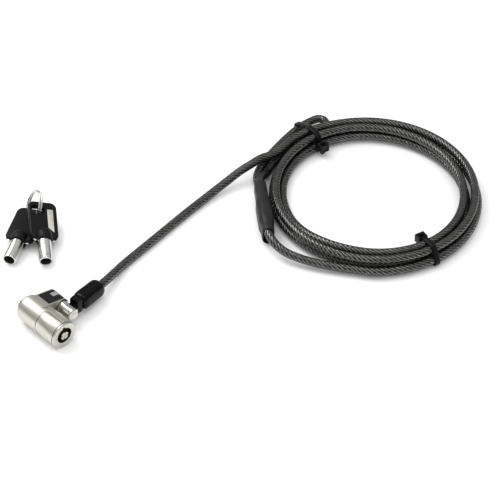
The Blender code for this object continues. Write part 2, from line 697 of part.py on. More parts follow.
def sleeve_point(share, up, side=0.0):
    """Point beside the sleeve axis; share runs from 0 at its start to 1 at its mouth."""
    axis_point = SLEEVE_START + (SLEEVE_MOUTH - SLEEVE_START) * share
    return axis_point + SLEEVE_SIDE * side + np.array([0.0, 0.0, up])


def straight_run():
    """Out of the boot, down to the table, up over the loop's legs to the coil."""
    boot_end = boot_axis_point(BOOT_X1)
    table_dir = unit(TABLE_B - TABLE_A)
    points = [boot_axis_point(BOOT_X0 + 8.0), boot_axis_point(BOOT_X0 + 14.0), boot_end]
    points += bezier(boot_end, boot_end + BOOT_AXIS * 8, TABLE_A - table_dir * 8, TABLE_A, 5)
    points += [TABLE_A + (TABLE_B - TABLE_A) * (i / 3) for i in (1, 2, 3)]
    points += [np.array(point) for point in RUN]
    run_end, join = points[-1], coil_point(coil_radius(0), JOIN_A, TOP_Z)
    points += bezier(run_end, run_end + RUN_END_DIR * 3, join - clockwise(JOIN_A) * 3, join, 2)
    return points


def coil():
    wounds = [STEP * k for k in range(1, round(TURNS_END / STEP) + 1)]
    return [coil_point(coil_radius(w), JOIN_A - w, coil_height(w)) for w in wounds]


def leg_layout(angle):
    """Radius of the middle of the loop's two legs and their half distance."""
    middle = LEG_R + LEG_R_GAIN * ease((100.0 - angle) / 30.0)
    half = HALF_PITCH + (EYE_R - HALF_PITCH) * ease((84.0 - angle) / 16.0)
    return middle, half


def leg_middles(mouth):
    """Middle line of the legs from the sleeve's mouth to the bend, as (point,
    half distance, turn).  The pair turns from upright (90) to flat (0) before
    the straight run crosses it."""
    radius, half = leg_layout(LEG_A0)
    start = coil_point(radius, LEG_A0, LOW_Z)
    drop_steps = 5
    curve = bezier(mouth, mouth + SLEEVE_DIR * 8, start - clockwise(LEG_A0) * 8, start,
                   drop_steps)
    middles = []
    for i, point in enumerate(curve):
        share = ease((i + 1) / drop_steps / TWIST_END)
        z = SLEEVE_Z + (LOW_Z - SLEEVE_Z) * share
        middles.append((np.array([point[0], point[1], z]), half, 90.0 * (1 - share)))
    for i in range(1, LEG_STEPS + 1):
        angle = LEG_A0 + (LEG_A1 - LEG_A0) * i / LEG_STEPS
        radius, half = leg_layout(angle)
        middles.append((coil_point(radius, angle, LOW_Z), half, 0.0))
    return middles


def loop():
    """Out along one leg, round the bend and back along the other."""
    mouth = sleeve_point(STRAND_EXIT, 0)
    middles = leg_middles(mouth)
    line = [mouth] + [entry[0] for entry in middles]
    line.append(line[-1] + clockwise(LEG_A1))
    outward, homeward = [], []
    for k, (point, half, turn) in enumerate(middles):
        along = unit((line[k + 2] - line[k]) * np.array([1, 1, 0]))
        side = np.array([-along[1], along[0], 0.0])      # away from the coil
        cos, sin = cos_sin(turn)
        spread = half + TWIST_SPREAD * math.sin(rad(2 * turn))
        offset = spread * (cos * side - sin * np.array([0, 0, 1.0]))
        outward.append(point - offset)
        homeward.append(point + offset)
    bend = []                  # about the last middle point
    for i in range(1, EYE_STEPS):
        cos, sin = cos_sin(180.0 * i / EYE_STEPS)
        bend.append(point + half * (-cos * side + sin * along))
    return outward + bend + homeward[::-1]


def cable_line():
    """Centre line of the whole cable, from inside the boot to its end in the sleeve."""
    line = straight_run() + coil()
    line += [polar(*station) for station in SLEEVE_APPROACH]
    line += [sleeve_point(share, HALF_PITCH) for share in (-0.04, 0.35, STRAND_EXIT)]
    line += loop()
    line += [sleeve_point(share, -HALF_PITCH) for share in (STRAND_EXIT, 0.12)]
    return line


CABLE_LINE = cable_line()


def cable_jacket():
    piece("cable_jacket", sweep(CABLE_LINE, CABLE_R, 8, inner=JACKET_IN_R, phase=rad(22.5)),
          VINYL)


def wire_rope_core():
    """Starts inside the fork's neck and stops just short of the jacket's end."""
    line = [boot_axis_point(BOOT_X0 + 2.2)] + CABLE_LINE[:-1]
    line.append(CABLE_LINE[-1] + SLEEVE_DIR * 0.6)
    piece("wire_rope_core", sweep(line, CORE_WIRE_R, 6), WIRE)


# ======================= sleeve over both strands ============================
SLEEVE_BORE_R = CABLE_R + GAP + 0.05
# Stations: share of the sleeve axis, extra radius over the bore.
FERRULE_OUTER = ((0.20, 0.5), (0.62, 0.5))
FERRULE_INNER = ((0.20, 0.0), (0.62, 0.0))
SHRINK_OUTER = ((-0.01, 0.45), (0.02, 0.65), (0.14, 0.7), (0.20, 1.4), (0.62, 1.4),
                (0.72, 0.7), (1.0, 0.6))
SHRINK_INNER = ((-0.01, 0.0), (0.04, 0.0), (0.15, 0.0), (0.185, 0.8), (0.635, 0.8),
                (0.68, 0.0), (1.0, 0.0))


def stadium_tube(outer, inner):
    """Tube round both strands: two half circles, one above the other."""
    rings = []
    for share, extra in outer + inner[::-1]:
        radius = SLEEVE_BORE_R + extra
        outline = (arc(HALF_PITCH, 0, radius, -90, 90, 6)
                   + arc(-HALF_PITCH, 0, radius, 90, 270, 6))
        rings.append([tuple(sleeve_point(share, up, -side)) for up, side in outline])
    return loft(rings, closed=True)


def crimp_ferrule():
    piece("crimp_ferrule", stadium_tube(FERRULE_OUTER, FERRULE_INNER), ALUMINIUM)


def shrink_sleeve():
    piece("shrink_sleeve", stadium_tube(SHRINK_OUTER, SHRINK_INNER), RUBBER)


# ======================= cable ties ==========================================
TIE_T, TIE_W = 0.95, 2.6
TIE_IN_R = CABLE_R + GAP + 0.22          # strand centre to the strap's inside
TIE_SIDES = 20
TIE_HEAD_W = 5.2
STRAND_R_MIN, STRAND_R_MAX = 40, 75      # radii counted as part of the bundle


def about_coil(point):
    """Angle and radius of a point about the coil's centre."""
    x, y = point[0] - COIL_CENTRE[0], point[1] - COIL_CENTRE[1]
    return math.degrees(math.atan2(y, x)), math.hypot(x, y)


def strands_at(angle):
    """(radius, height) of every strand crossing the vertical plane at angle."""
    strands = []
    for p, q in zip(CABLE_LINE, CABLE_LINE[1:]):
        before, after = ((about_coil(end)[0] - angle + 180) % 360 - 180 for end in (p, q))
        if before * after < 0 and abs(before - after) < 90:
            crossing = p + (q - p) * (before / (before - after))
            radius = about_coil(crossing)[1]
            if STRAND_R_MIN < radius < STRAND_R_MAX:
                strands.append((radius, crossing[2]))
    return strands


def cable_tie(name, angle, lift):
    """Strap loop round the bundle with a locking head inside the coil.  Local
    frame: x away from the coil's centre, y along the bundle; lift raises the head."""
    strands = strands_at(angle)
    inner, outer = [], []
    for i in range(TIE_SIDES):
        cos, sin = cos_sin(360.0 / TIE_SIDES * i + 9)
        x, z = max(strands, key=lambda strand: strand[0] * cos + strand[1] * sin)
        inner.append((x + TIE_IN_R * cos, z + TIE_IN_R * sin))
        outer.append((x + (TIE_IN_R + TIE_T) * cos, z + (TIE_IN_R + TIE_T) * sin))
    half = TIE_W / 2
    strap = loft([[(x, y, z) for x, z in outline] for y, outline in
                  ((-half, outer), (half, outer), (half, inner), (-half, inner))], closed=True)

    innermost_r, innermost_z = min(strands)
    x = innermost_r - TIE_IN_R
    z = innermost_z + lift
    lock = box(x - 4.6, x - 0.35, -TIE_HEAD_W / 2, TIE_HEAD_W / 2, z - 2.2, z + 2.3)
    tail = box(x - 2.9, x - 1.7, -half + 0.2, half - 0.2, z - 4.4, z + 3.6)
    turn_cos, turn_sin = cos_sin(angle)

    def place(point):
        return (COIL_CENTRE[0] + point[0] * turn_cos - point[1] * turn_sin,
                COIL_CENTRE[1] + point[0] * turn_sin + point[1] * turn_cos, point[2])

    piece(name, solid(strap, ("+", lock), ("+", tail)), BLACK, place)


# ======================= keys and ring =======================================
# Key frame: y from the tube towards the bow, x across the bow, z through it;
# the tube's tip is at y = -KEY_TUBE_L.
KEY_TUBE_R, KEY_TUBE_IN_R, KEY_TUBE_L = 3.5, 2.75, 13.4
KEY_TUBE_END_Y = 3.3           # end of the tube inside the bow
KEY_NOTCH_R, KEY_NOTCH_CIRCLE_R = 0.62, 3.1
BOW_W, BOW_L, BOW_T = 15.0, 23.6, 3.2
BOW_CORNER_R = 3.2
BOW_EDGE_Z, BOW_EDGE_INSET = 0.8, 1.0    # eased edge, through and across the bow
COLLAR = ((0, -0.9), (4.1, -0.9), (4.5, -0.5), (4.5, 2.6), (4.2, 4.2), (3.3, 5.6),
          (1.6, 6.5), (0, 6.7))          # radius, y
RING_SLOT_R, RING_SLOT_Y = 2.65, BOW_L - 5.6
RING_SLOT_X0, RING_SLOT_X1 = 1.3, 4.1    # end centres of the ring slot, on the -X side
LABEL_X = (2.0, 5.5)
LABEL_Y = (6.9, 18.9)
LABEL_SLANT = 3.0
PLATE_X0, PLATE_X1 = KEY_TUBE_R + GAP + 0.05, 5.75
KEYS = (                       # name, tip of the tube, yaw, pitch, roll
    ("key_a", (29.3, 22.41, 3.43), 53.6, 12.2, 18.0),
    ("key_b", (16.35, 35.66, 3.9), 32.0, 3.1, 180.0))

RING_R, RING_WIRE_R = 7.5, 0.55
RING_CENTRE = (48.65, 54.85, 9.17)
RING_AXIS = direction(-26.37, -26.72)
RING_STEPS = 24                # per turn


def bow_body():
    """Rounded rectangle with an eased edge all round."""
    r, middle = BOW_CORNER_R, BOW_L / 2
    x = BOW_W / 2 - r
    plan = []
    for centre_x, centre_y, start in ((x, BOW_L - r, 0), (-x, BOW_L - r, 90),
                                      (-x, r, 180), (x, r, 270)):
        plan += arc(centre_x, centre_y, r, start, start + 90, 4)
    rings = []
    face_z = BOW_T / 2
    side_z = face_z - BOW_EDGE_Z
    for z, inset in ((-face_z, BOW_EDGE_INSET), (-side_z, 0.0), (side_z, 0.0),
                     (face_z, BOW_EDGE_INSET)):
        scale_x, scale_y = 1 - inset * 2 / BOW_W, 1 - inset * 2 / BOW_L
        rings.append([(x * scale_x, middle + (y - middle) * scale_y, z) for x, y in plan])
    return loft(rings)


def key_label_outline(inset):
    """Label outline with its end towards the tube cut slanting."""
    x0, x1 = LABEL_X[0] + inset, LABEL_X[1] - inset
    y0, y1 = LABEL_Y[0] + inset, LABEL_Y[1] - inset
    return [(x0, y0), (x1, y0 - LABEL_SLANT), (x1, y1), (x0, y1)]


def key_bow():
    ring_slot = [(-x, y) for x, y in
                 arc(RING_SLOT_X1, RING_SLOT_Y, RING_SLOT_R, -90, 90, 6)
                 + arc(RING_SLOT_X0, RING_SLOT_Y, RING_SLOT_R, 90, 270, 6)]
    return solid(bow_body(), ("+", lathe(COLLAR, 24)),
                 ("-", box(-6.1, 6.1, -2, 3.2, -0.75, 0.75)),          # room for the plates
                 ("-", rod_y(0, 0, -3, 3.6, KEY_TUBE_R + GAP, 24)),
                 ("-", slab(ring_slot, -6, 6)),
                 ("-", slab(key_label_outline(0.0), BOW_T / 2 - 0.45, 6)))


def key_tube():
    """Tube with seven notches of three depths round its tip."""
    edge, tip = 0.2, -KEY_TUBE_L
    tube = lathe([(KEY_TUBE_IN_R, tip), (KEY_TUBE_R - edge, tip), (KEY_TUBE_R, tip + edge),
                  (KEY_TUBE_R, KEY_TUBE_END_Y), (KEY_TUBE_IN_R, KEY_TUBE_END_Y)], 28)
    notches = []
    for k in range(PIN_COUNT):
        x, z = (KEY_NOTCH_CIRCLE_R * part for part in cos_sin(PIN_STEP_A * (k + 0.5)))
        depth = 0.5 + 0.25 * (k % 3)
        notches.append(("-", rod_y(x, z, tip - CUT, tip + depth, KEY_NOTCH_R, 8)))
    return solid(tube, *notches)


def key_frame(tip, yaw, pitch, roll):
    """Key frame to world, placed by the tip of the tube."""
    axis = direction(yaw, pitch)
    level = direction(yaw - 90, 0)
    raised = np.cross(level, axis)
    cos, sin = cos_sin(roll)
    right = level * cos - raised * sin
    up = level * sin + raised * cos
    tip = np.asarray(tip, float)

    def place(point):
        x, y, z = point
        return tuple(tip + right * x + axis * (y + KEY_TUBE_L) + up * z)
    return place


def keys():
    tube, bow = key_tube(), key_bow()
    plate_sides = (-0.55, 2.8, -0.42, 0.42)              # y0, y1, z0, z1
    shapes = (
        ("tube", tube, STEEL),
        ("bow", bow, BLACK),
        ("plate_right", box(PLATE_X0, PLATE_X1, *plate_sides), STEEL),
        ("plate_left", box(-PLATE_X1, -PLATE_X0, *plate_sides), STEEL),
        ("label", slab(key_label_outline(0.25), BOW_T / 2 - 0.2, BOW_T / 2 + 0.06), SILVER))
    for name, tip, yaw, pitch, roll in KEYS:
        place = key_frame(tip, yaw, pitch, roll)
        slot_middle = place((-(RING_SLOT_X0 + RING_SLOT_X1) / 2, RING_SLOT_Y, 0))
        for part, shape, material in shapes:
            piece(f"{name}_{part}", shape, material, place, slot_middle)


def split_ring():
    """Nearly two turns of round wire."""
    across = unit(np.cross([0, 0, 1.0], RING_AXIS))
    over = np.cross(RING_AXIS, across)
    rise = 2 * (RING_WIRE_R + 0.08)                      # per turn
    helix = []
    for i in range(2 * RING_STEPS - 1):
        a = 2 * math.pi * i / RING_STEPS + rad(60)
        helix.append(np.array(RING_CENTRE) + RING_R * (math.cos(a) * across + math.sin(a) * over)
                     + (i / RING_STEPS - 1.0) * rise * RING_AXIS)
    piece("split_ring", sweep(helix, RING_WIRE_R, 6, up=RING_AXIS), STEEL, origin=RING_CENTRE)


# ======================= build ===============================================
lock_housing()
retaining_dowel()
arm_label()
front_sleeve()
front_bezel()
core_shell()
driver_block()
lock_plug()
centre_post()
t_bar_spindle()
nose_guard()
nose_washer()
for slot in range(PIN_COUNT):
    pin_stack(slot)

swivel_knuckle()
pivot_pin()
cable_fork()
strain_boot()

cable_jacket()
wire_rope_core()
crimp_ferrule()
shrink_sleeve()
cable_tie("tie_eye_end", angle=79.0, lift=2.2)
cable_tie("tie_coil", angle=257.5, lift=0.0)

keys()
split_ring()
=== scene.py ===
"""Laptop cable lock: a lock head with a swivel, a coiled cable held by two ties, two keys.

Lengths are millimetres in the lock's own layout: the barrel lies on Y with its key face at
-Y, the cable leaves towards +X and the floor is Z = 0. to_row() turns them into the row
frame in metres. Angles are degrees unless a line says otherwise.
"""

from math import cos, degrees, hypot, pi, radians as rad, sin, sqrt

import bmesh
import bpy
import numpy as np
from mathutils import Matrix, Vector


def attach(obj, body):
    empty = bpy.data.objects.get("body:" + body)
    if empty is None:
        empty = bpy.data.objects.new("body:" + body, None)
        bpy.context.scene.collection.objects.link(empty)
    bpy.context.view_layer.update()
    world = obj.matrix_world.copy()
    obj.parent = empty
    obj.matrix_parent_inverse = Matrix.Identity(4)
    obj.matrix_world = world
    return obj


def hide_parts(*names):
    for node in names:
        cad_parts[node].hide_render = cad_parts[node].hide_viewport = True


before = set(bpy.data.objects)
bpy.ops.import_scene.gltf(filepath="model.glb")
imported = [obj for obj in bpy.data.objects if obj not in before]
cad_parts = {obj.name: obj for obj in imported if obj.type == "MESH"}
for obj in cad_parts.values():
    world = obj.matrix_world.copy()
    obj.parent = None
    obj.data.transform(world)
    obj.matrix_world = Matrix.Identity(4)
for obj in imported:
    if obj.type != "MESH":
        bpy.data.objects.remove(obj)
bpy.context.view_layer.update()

MM = 0.001
ROW_CENTRE = (117.14, -26.26, 0.0)   # layout point that lies at the row frame's origin
GAP = 0.3                            # clearance between separate pieces

# Lock head
BARREL_R, HEAD_L = 7.0, 28.0
HEAD_ROLL = 13.4                     # about the barrel axis
BEZEL_T = 1.1
SPLIT_Y = -14.4                      # seam between front sleeve and housing
SLEEVE_IN = 5.5                      # inner radius of the sleeve
CORE_R, CORE_BORE = 5.15, 4.6
KEYWAY_R, POST_R, SPINDLE_R = 4.2, 2.2, 1.35
PLUG_Y0 = -20.2
ARM_Y0, ARM_Y1 = -11.4, -1.5
ARM_X, ARM_Z, ARM_R = 11.8, 3.05, 3.9

# Swivel, fork and boot
DRUM_R, DRUM_END = 3.3, -20.6
PIVOT_Y = -16.0
CABLE_YAW, CABLE_PITCH = 10.5, -4.2
BOOT_R, BOOT_S0, BOOT_S1 = 4.4, 8.1, 24.2   # S runs along the boot from the pivot

# Cable
CABLE_R, JACKET_IN = 2.2, 1.8
PITCH = 2 * CABLE_R + GAP            # distance between neighbouring turns
ROPE_LAY = 20.0                      # cable length for one full turn of a strand


def unit(v):
    v = np.asarray(v, float)
    return v / np.linalg.norm(v)


def to_row(p):
    return tuple((a - c) * MM for a, c in zip(p, ROW_CENTRE))


# ---- Materials ----

def grey_ramp(node, stops, blue=1.0):
    """Fill a colour ramp from (position, grey) stops; blue scales the blue channel."""
    elements = node.color_ramp.elements
    while len(elements) < len(stops):
        elements.new(0.5)
    for element, (position, grey) in zip(elements, stops):
        element.position = position
        element.color = (grey, grey, grey * blue, 1)


class Nodes:
    """A node tree under construction. Apart from add(), methods return output sockets."""

    def __init__(self, owner, output="OutputMaterial"):
        owner.use_nodes = True
        self.owner = owner
        self.tree = owner.node_tree
        self.tree.nodes.clear()
        self.out = self.add(output)
        self.coords = self.add("TexCoord").outputs

    def feed(self, socket, value):
        """Link an output to the socket, or set its value; RGB colours get an alpha of 1."""
        if isinstance(value, bpy.types.NodeSocket):
            self.tree.links.new(value, socket)
        elif isinstance(value, tuple) and len(value) == 3 and socket.type == "RGBA":
            socket.default_value = (*value, 1.0)
        else:
            socket.default_value = value

    def add(self, kind, inputs=None, **settings):
        node = self.tree.nodes.new("ShaderNode" + kind)
        for key, value in settings.items():
            setattr(node, key, value)
        for key, value in (inputs or {}).items():
            self.feed(node.inputs[key], value)
        return node

    def split(self, coords):
        return self.add("SeparateXYZ", {0: self.coords[coords]}).outputs

    def mapping(self, scale=(1, 1, 1)):
        return self.add("Mapping", {"Scale": scale, "Vector": self.coords["Object"]}).outputs[0]

    def noise(self, scale, detail, rough, distortion=0.0, vector=None):
        if vector is None:
            vector = self.mapping()
        return self.add("TexNoise", {"Vector": vector, "Scale": scale, "Detail": detail,
                                     "Roughness": rough, "Distortion": distortion}).outputs["Fac"]

    def remap(self, value, low, high, to=(0.0, 1.0)):
        return self.add("MapRange", {"Value": value, "From Min": low, "From Max": high,
                                     "To Min": to[0], "To Max": to[1]}).outputs["Result"]

    def math(self, operation, a, b=0.0):
        inputs = {0: a, 1: b, 2: 0.0}
        return self.add("Math", inputs, operation=operation).outputs["Value"]

    def plus(self, a, b):
        return self.math("ADD", a, b)

    def times(self, a, b):
        return self.math("MULTIPLY", a, b)

    def mix(self, factor, a, b):
        inputs = {"Factor": factor, "A": a, "B": b}
        return self.add("Mix", inputs, data_type="RGBA").outputs["Result"]

    def mix_shader(self, factor, a, b):
        return self.add("MixShader", {0: factor, 1: a, 2: b}).outputs[0]

    def bump(self, height, strength, distance):
        return self.add("Bump", {"Height": height, "Strength": strength,
                                 "Distance": distance}).outputs["Normal"]

    def surface(self, shader):
        self.feed(self.out.inputs["Surface"], shader)

    def principled(self, **inputs):
        named = {key.replace("_", " "): value for key, value in inputs.items()}
        self.surface(self.add("BsdfPrincipled", named).outputs["BSDF"])


MATERIALS = {}


def new_material(name):
    MATERIALS[name] = bpy.data.materials.new(name)
    return Nodes(MATERIALS[name])


def metal(name, base, stain, rough, grain, brush, bump, anisotropy):
    """Plated or machined metal: fine directional grain, faint stains."""
    g = new_material(name)
    fine = g.noise(scale=grain, detail=6, rough=0.65, vector=g.mapping(brush))
    broad = g.noise(scale=160, detail=3, rough=0.5, distortion=0.4)
    specks = g.noise(scale=2600, detail=2, rough=0.5)
    colour = g.mix(g.remap(broad, 0.3, 0.75), base, stain)
    gloss = g.plus(g.remap(fine, 0.25, 0.75, to=(rough * 0.78, rough * 1.25)),
                   g.remap(broad, 0.3, 0.8, to=(-0.02, 0.035)))
    height = g.plus(fine, g.times(specks, 0.35))
    g.principled(Base_Color=colour, Metallic=1.0, Roughness=gloss, Anisotropic=anisotropy,
                 Normal=g.bump(height, strength=bump, distance=0.00006))


def plastic(name, base, light, rough, coat, grain, bump, broad, specular):
    """Moulded plastic or rubber: spark-eroded grain, slow gloss changes, pale high spots."""
    g = new_material(name)
    fine = g.noise(scale=grain, detail=5, rough=0.6)
    slow = g.noise(scale=broad, detail=3, rough=0.5)
    colour = g.mix(g.remap(g.times(fine, slow), 0.12, 0.42), base, light)
    gloss = g.plus(g.remap(fine, 0.2, 0.8, to=(rough * 0.85, rough * 1.15)),
                   g.remap(slow, 0.3, 0.7, to=(-0.03, 0.03)))
    g.principled(Base_Color=colour, Roughness=gloss, Specular_IOR_Level=specular,
                 Coat_Weight=coat, Coat_Roughness=0.06,
                 Normal=g.bump(fine, strength=bump, distance=0.00005))


def wire_rope():
    """Galvanised strands: zinc-coloured crowns, with painted shade darkening the grooves between
    them.
    """
    g = new_material("wire_rope_strands")
    around = g.split("UV")["Y"]
    saw = g.math("FRACT", g.times(around, 12.0))
    lobe = g.math("ABSOLUTE", g.math("SUBTRACT", saw, 0.5))
    crown = g.remap(lobe, 0.5, 0.12)
    vector = g.mapping()
    dirt = g.noise(scale=260, detail=4, rough=0.6, vector=vector)
    fine = g.noise(scale=1900, detail=3, rough=0.6, vector=vector)
    # painted shade: the ramp takes the colour from zinc on each strand's crown to near black in
    # the grooves
    groove = g.add("ValToRGB", {"Fac": crown})
    grey_ramp(groove, [(0.0, 0.0), (0.42, 0.16), (0.75, 0.70), (1.0, 1.0)])
    groove_shade, zinc, grime = (0.018, 0.018, 0.017), (0.86, 0.86, 0.83), (0.20, 0.20, 0.19)
    colour = g.mix(groove.outputs["Color"], groove_shade, zinc)
    colour = g.mix(g.remap(dirt, 0.42, 0.72, to=(0.0, 0.55)), colour, grime)
    g.principled(Base_Color=colour, Metallic=0.85,
                 Roughness=g.remap(fine, 0.3, 0.7, to=(0.30, 0.50)),
                 Normal=g.bump(fine, strength=0.12, distance=0.00005))


def smoke_jacket():
    """Smoke vinyl drawn tight over the rope: dark, half see-through, with the lay of the
    strands showing as bright slanting streaks."""
    streaks = 8.0                    # round the cable
    g = new_material("smoke_vinyl_jacket")
    uv = g.split("UV")
    wander = g.noise(scale=150, detail=3, rough=0.55)
    lay = g.math("SUBTRACT", g.times(uv["Y"], streaks), g.times(uv["X"], streaks / ROPE_LAY))
    lay = g.plus(lay, g.times(wander, 0.5))
    wave = g.math("SINE", g.times(lay, 2 * pi))
    wires = g.math("SINE", g.times(lay, 8 * pi))
    scuff = g.noise(scale=420, detail=5, rough=0.62)
    fine = g.noise(scale=2200, detail=3, rough=0.6)
    height = g.plus(wave, g.plus(g.times(wires, 0.12), g.times(fine, 0.25)))
    strand_normal = g.bump(height, strength=0.9, distance=0.00016)
    crown = g.remap(g.plus(wave, g.times(wires, 0.25)), -0.3, 1.0)
    show = g.times(g.math("POWER", crown, 1.5), g.remap(scuff, 0.32, 0.68, to=(0.30, 1.0)))
    rim = g.remap(g.add("LayerWeight", {"Blend": 0.5}).outputs["Facing"], 0.30, 0.80)

    # see-through body, denser towards the rim
    clear = g.add("BsdfTransparent", {"Color": (0.40, 0.405, 0.39)}).outputs[0]
    tint = g.mix(g.remap(scuff, 0.4, 0.7), (0.004, 0.004, 0.004), (0.010, 0.010, 0.0095))
    dark = g.add("BsdfDiffuse", {"Color": tint}).outputs[0]
    body = g.mix_shader(g.plus(0.55, g.times(rim, 0.4)), clear, dark)

    # strands glinting through, fading towards the rim
    strand = g.add("BsdfGlossy", {"Color": (0.50, 0.50, 0.475), "Normal": strand_normal,
                                  "Roughness": g.remap(fine, 0.3, 0.7, to=(0.17, 0.27))})
    glint = g.times(show, g.math("SUBTRACT", 0.54, g.times(rim, 0.50)))
    lit = g.mix_shader(glint, body, strand.outputs[0])

    # outer skin reflection
    skin = g.add("BsdfGlossy", {"Color": (0.95, 0.95, 0.95),
                                "Roughness": g.remap(scuff, 0.3, 0.75, to=(0.16, 0.30)),
                                "Normal": g.bump(height, strength=0.30, distance=0.00010)})
    fresnel = g.add("Fresnel", {"IOR": 1.5}).outputs[0]
    reflection = g.math("MINIMUM", g.times(fresnel, 1.1), 0.11)
    g.surface(g.mix_shader(reflection, lit, skin.outputs[0]))


def key_foil():
    """Plain brushed silver foil."""
    g = new_material("key_label_foil")
    fine = g.noise(scale=3000, detail=4, rough=0.6)
    slow = g.noise(scale=300, detail=3, rough=0.5)
    colour = g.mix(g.remap(slow, 0.3, 0.7), (0.66, 0.64, 0.56), (0.50, 0.49, 0.43))
    g.principled(Base_Color=colour, Metallic=0.75,
                 Roughness=g.remap(fine, 0.2, 0.8, to=(0.28, 0.42)),
                 Normal=g.bump(fine, strength=0.15, distance=0.00005))


# name, base colour, stain colour, roughness, grain scale, grain stretch, bump, anisotropy
EVEN = (1, 1, 1)
METALS = (
    ("satin_nickel", (0.62, 0.605, 0.535), (0.555, 0.54, 0.475), 0.37, 900, (1, 5, 1), 0.06, 0.2),
    ("satin_nickel_face", (0.58, 0.57, 0.52), (0.51, 0.50, 0.45), 0.36, 1800, EVEN, 0.10, 0.0),
    ("polished_chrome", (0.60, 0.59, 0.56), (0.50, 0.49, 0.46), 0.12, 500, EVEN, 0.02, 0.0),
    ("turned_steel", (0.70, 0.69, 0.66), (0.56, 0.55, 0.52), 0.17, 1400, (1, 1, 14), 0.05, 0.0),
    ("plain_steel", (0.50, 0.50, 0.49), (0.38, 0.38, 0.37), 0.33, 1500, EVEN, 0.10, 0.0),
    ("machined_brass", (0.70, 0.53, 0.26), (0.55, 0.40, 0.18), 0.28, 1200, (6, 1, 6), 0.08, 0.0),
    ("pressed_aluminium", (0.72, 0.72, 0.73), (0.60, 0.60, 0.61), 0.36, 1000, EVEN, 0.12, 0.0),
    ("label_print_silver", (0.62, 0.62, 0.61), (0.54, 0.54, 0.53), 0.42, 3000, EVEN, 0.03, 0.0),
)
# name, base colour, high-spot colour,
#     roughness, coat weight, grain scale, bump, slow scale, specular level
PLASTICS = (
    # black painted shade for the insides of bores and recesses
    ("bore_painted_shade", (0.010, 0.010, 0.010), (0.030, 0.029, 0.027),
     0.45, 0.0, 1500, 0.15, 200, 0.25),
    ("label_black", (0.0042, 0.0042, 0.0046), (0.0085, 0.0085, 0.009),
     0.42, 0.0, 3000, 0.10, 90, 0.22),
    ("gloss_black_boot", (0.0006, 0.0006, 0.0007), (0.0016, 0.0016, 0.0017),
     0.13, 0.14, 1500, 0.03, 60, 0.07),
    ("gloss_black_fork", (0.0012, 0.0012, 0.0014), (0.003, 0.003, 0.0032),
     0.24, 0.10, 1500, 0.05, 60, 0.10),
    ("black_key_bow", (0.0022, 0.0023, 0.0029), (0.005, 0.005, 0.0062),
     0.38, 0.0, 2600, 0.16, 90, 0.16),
    ("black_nylon_tie", (0.002, 0.002, 0.002), (0.005, 0.005, 0.005),
     0.32, 0.0, 1600, 0.10, 90, 0.16),
    ("matte_shrink_tube", (0.006, 0.006, 0.0065), (0.017, 0.017, 0.017),
     0.48, 0.0, 1300, 0.22, 120, 0.28),
)
for row in METALS:
    metal(*row)
for row in PLASTICS:
    plastic(*row)
wire_rope()
smoke_jacket()
key_foil()


# ---- Shapes: each is (vertices, faces) ----

def turns(n):
    """n even angles round a circle, in radians."""
    return [2 * pi * i / n for i in range(n)]


def on_circle(radius, angle, x=0.0, y=0.0):
    return (x + radius * cos(rad(angle)), y + radius * sin(rad(angle)))


def arc(x, y, radius, a0, a1, n):
    return [on_circle(radius, a0 + (a1 - a0) * i / n, x, y) for i in range(n + 1)]


def quads(a, b):
    """Faces between two closed rings of vertex numbers."""
    n = len(a)
    return [(a[i], a[(i + 1) % n], b[(i + 1) % n], b[i]) for i in range(n)]


def lathe(profile, n):
    """(radius, y) profile turned about Y; a profile clear of the axis is closed on itself."""
    verts, rings, faces = [], [], []
    for r, y in profile:
        start = len(verts)
        if r < 1e-9:
            verts.append((0.0, y, 0.0))
        else:
            verts += [(r * cos(a), y, r * sin(a)) for a in turns(n)]
        rings.append(range(start, len(verts)))
    pairs = list(zip(rings, rings[1:]))
    if len(rings[0]) > 1 and len(rings[-1]) > 1:
        pairs.append((rings[-1], rings[0]))
    for a, b in pairs:
        if len(a) == 1:
            faces += [(a[0], b[(i + 1) % n], b[i]) for i in range(n)]
        elif len(b) == 1:
            faces += [(a[i], a[(i + 1) % n], b[0]) for i in range(n)]
        else:
            faces += quads(a, b)
    return verts, faces


def rim_arc(r, y, radius, side, angles):
    """Lathe profile of a rounded edge; side is 1 for an end facing +Y, -1 for -Y."""
    return [(r - radius + radius * sin(rad(a)), y - side * radius + side * radius * cos(rad(a)))
            for a in angles]


def rounded(points, radius, n=5):
    """Round an outline's corners; a point's third value, if any, is its own radius."""
    out = []
    for k, point in enumerate(points):
        r = point[2] if len(point) > 2 else radius
        p = np.array(point[:2], float)
        if r <= 0:
            out.append(tuple(p))
            continue
        to_last = np.array(points[k - 1][:2], float) - p
        to_next = np.array(points[(k + 1) % len(points)][:2], float) - p
        last_l, next_l = np.linalg.norm(to_last), np.linalg.norm(to_next)
        d = min(r, last_l * 0.45, next_l * 0.45)
        start, end = p + to_last / last_l * d, p + to_next / next_l * d
        for i in range(n + 1):
            t = i / n
            out.append(tuple((1 - t) ** 2 * start + 2 * (1 - t) * t * p + t * t * end))
    return out


def prism(outline, low, high, axis=1):
    """(x, z) outline extruded along Y, or (x, y) outline along Z for axis=2."""
    n = len(outline)
    verts = [(*p[:axis], level, *p[axis:]) for level in (low, high) for p in outline]
    faces = [tuple(range(n)), tuple(range(2 * n - 1, n - 1, -1))]
    for i in range(n):
        j = (i + 1) % n
        faces.append((i, i + n, j + n, j))
    return verts, faces


def slab(outline, z0, z1):
    return prism(outline, z0, z1, axis=2)


def box(x0, x1, y0, y1, z0, z1):
    return prism([(x0, z0), (x1, z0), (x1, z1), (x0, z1)], y0, y1)


def sector(r_out, r_in, a0, a1, y0, y1, n):
    return prism(arc(0, 0, r_out, a0, a1, n) + arc(0, 0, r_in, a1, a0, n), y0, y1)


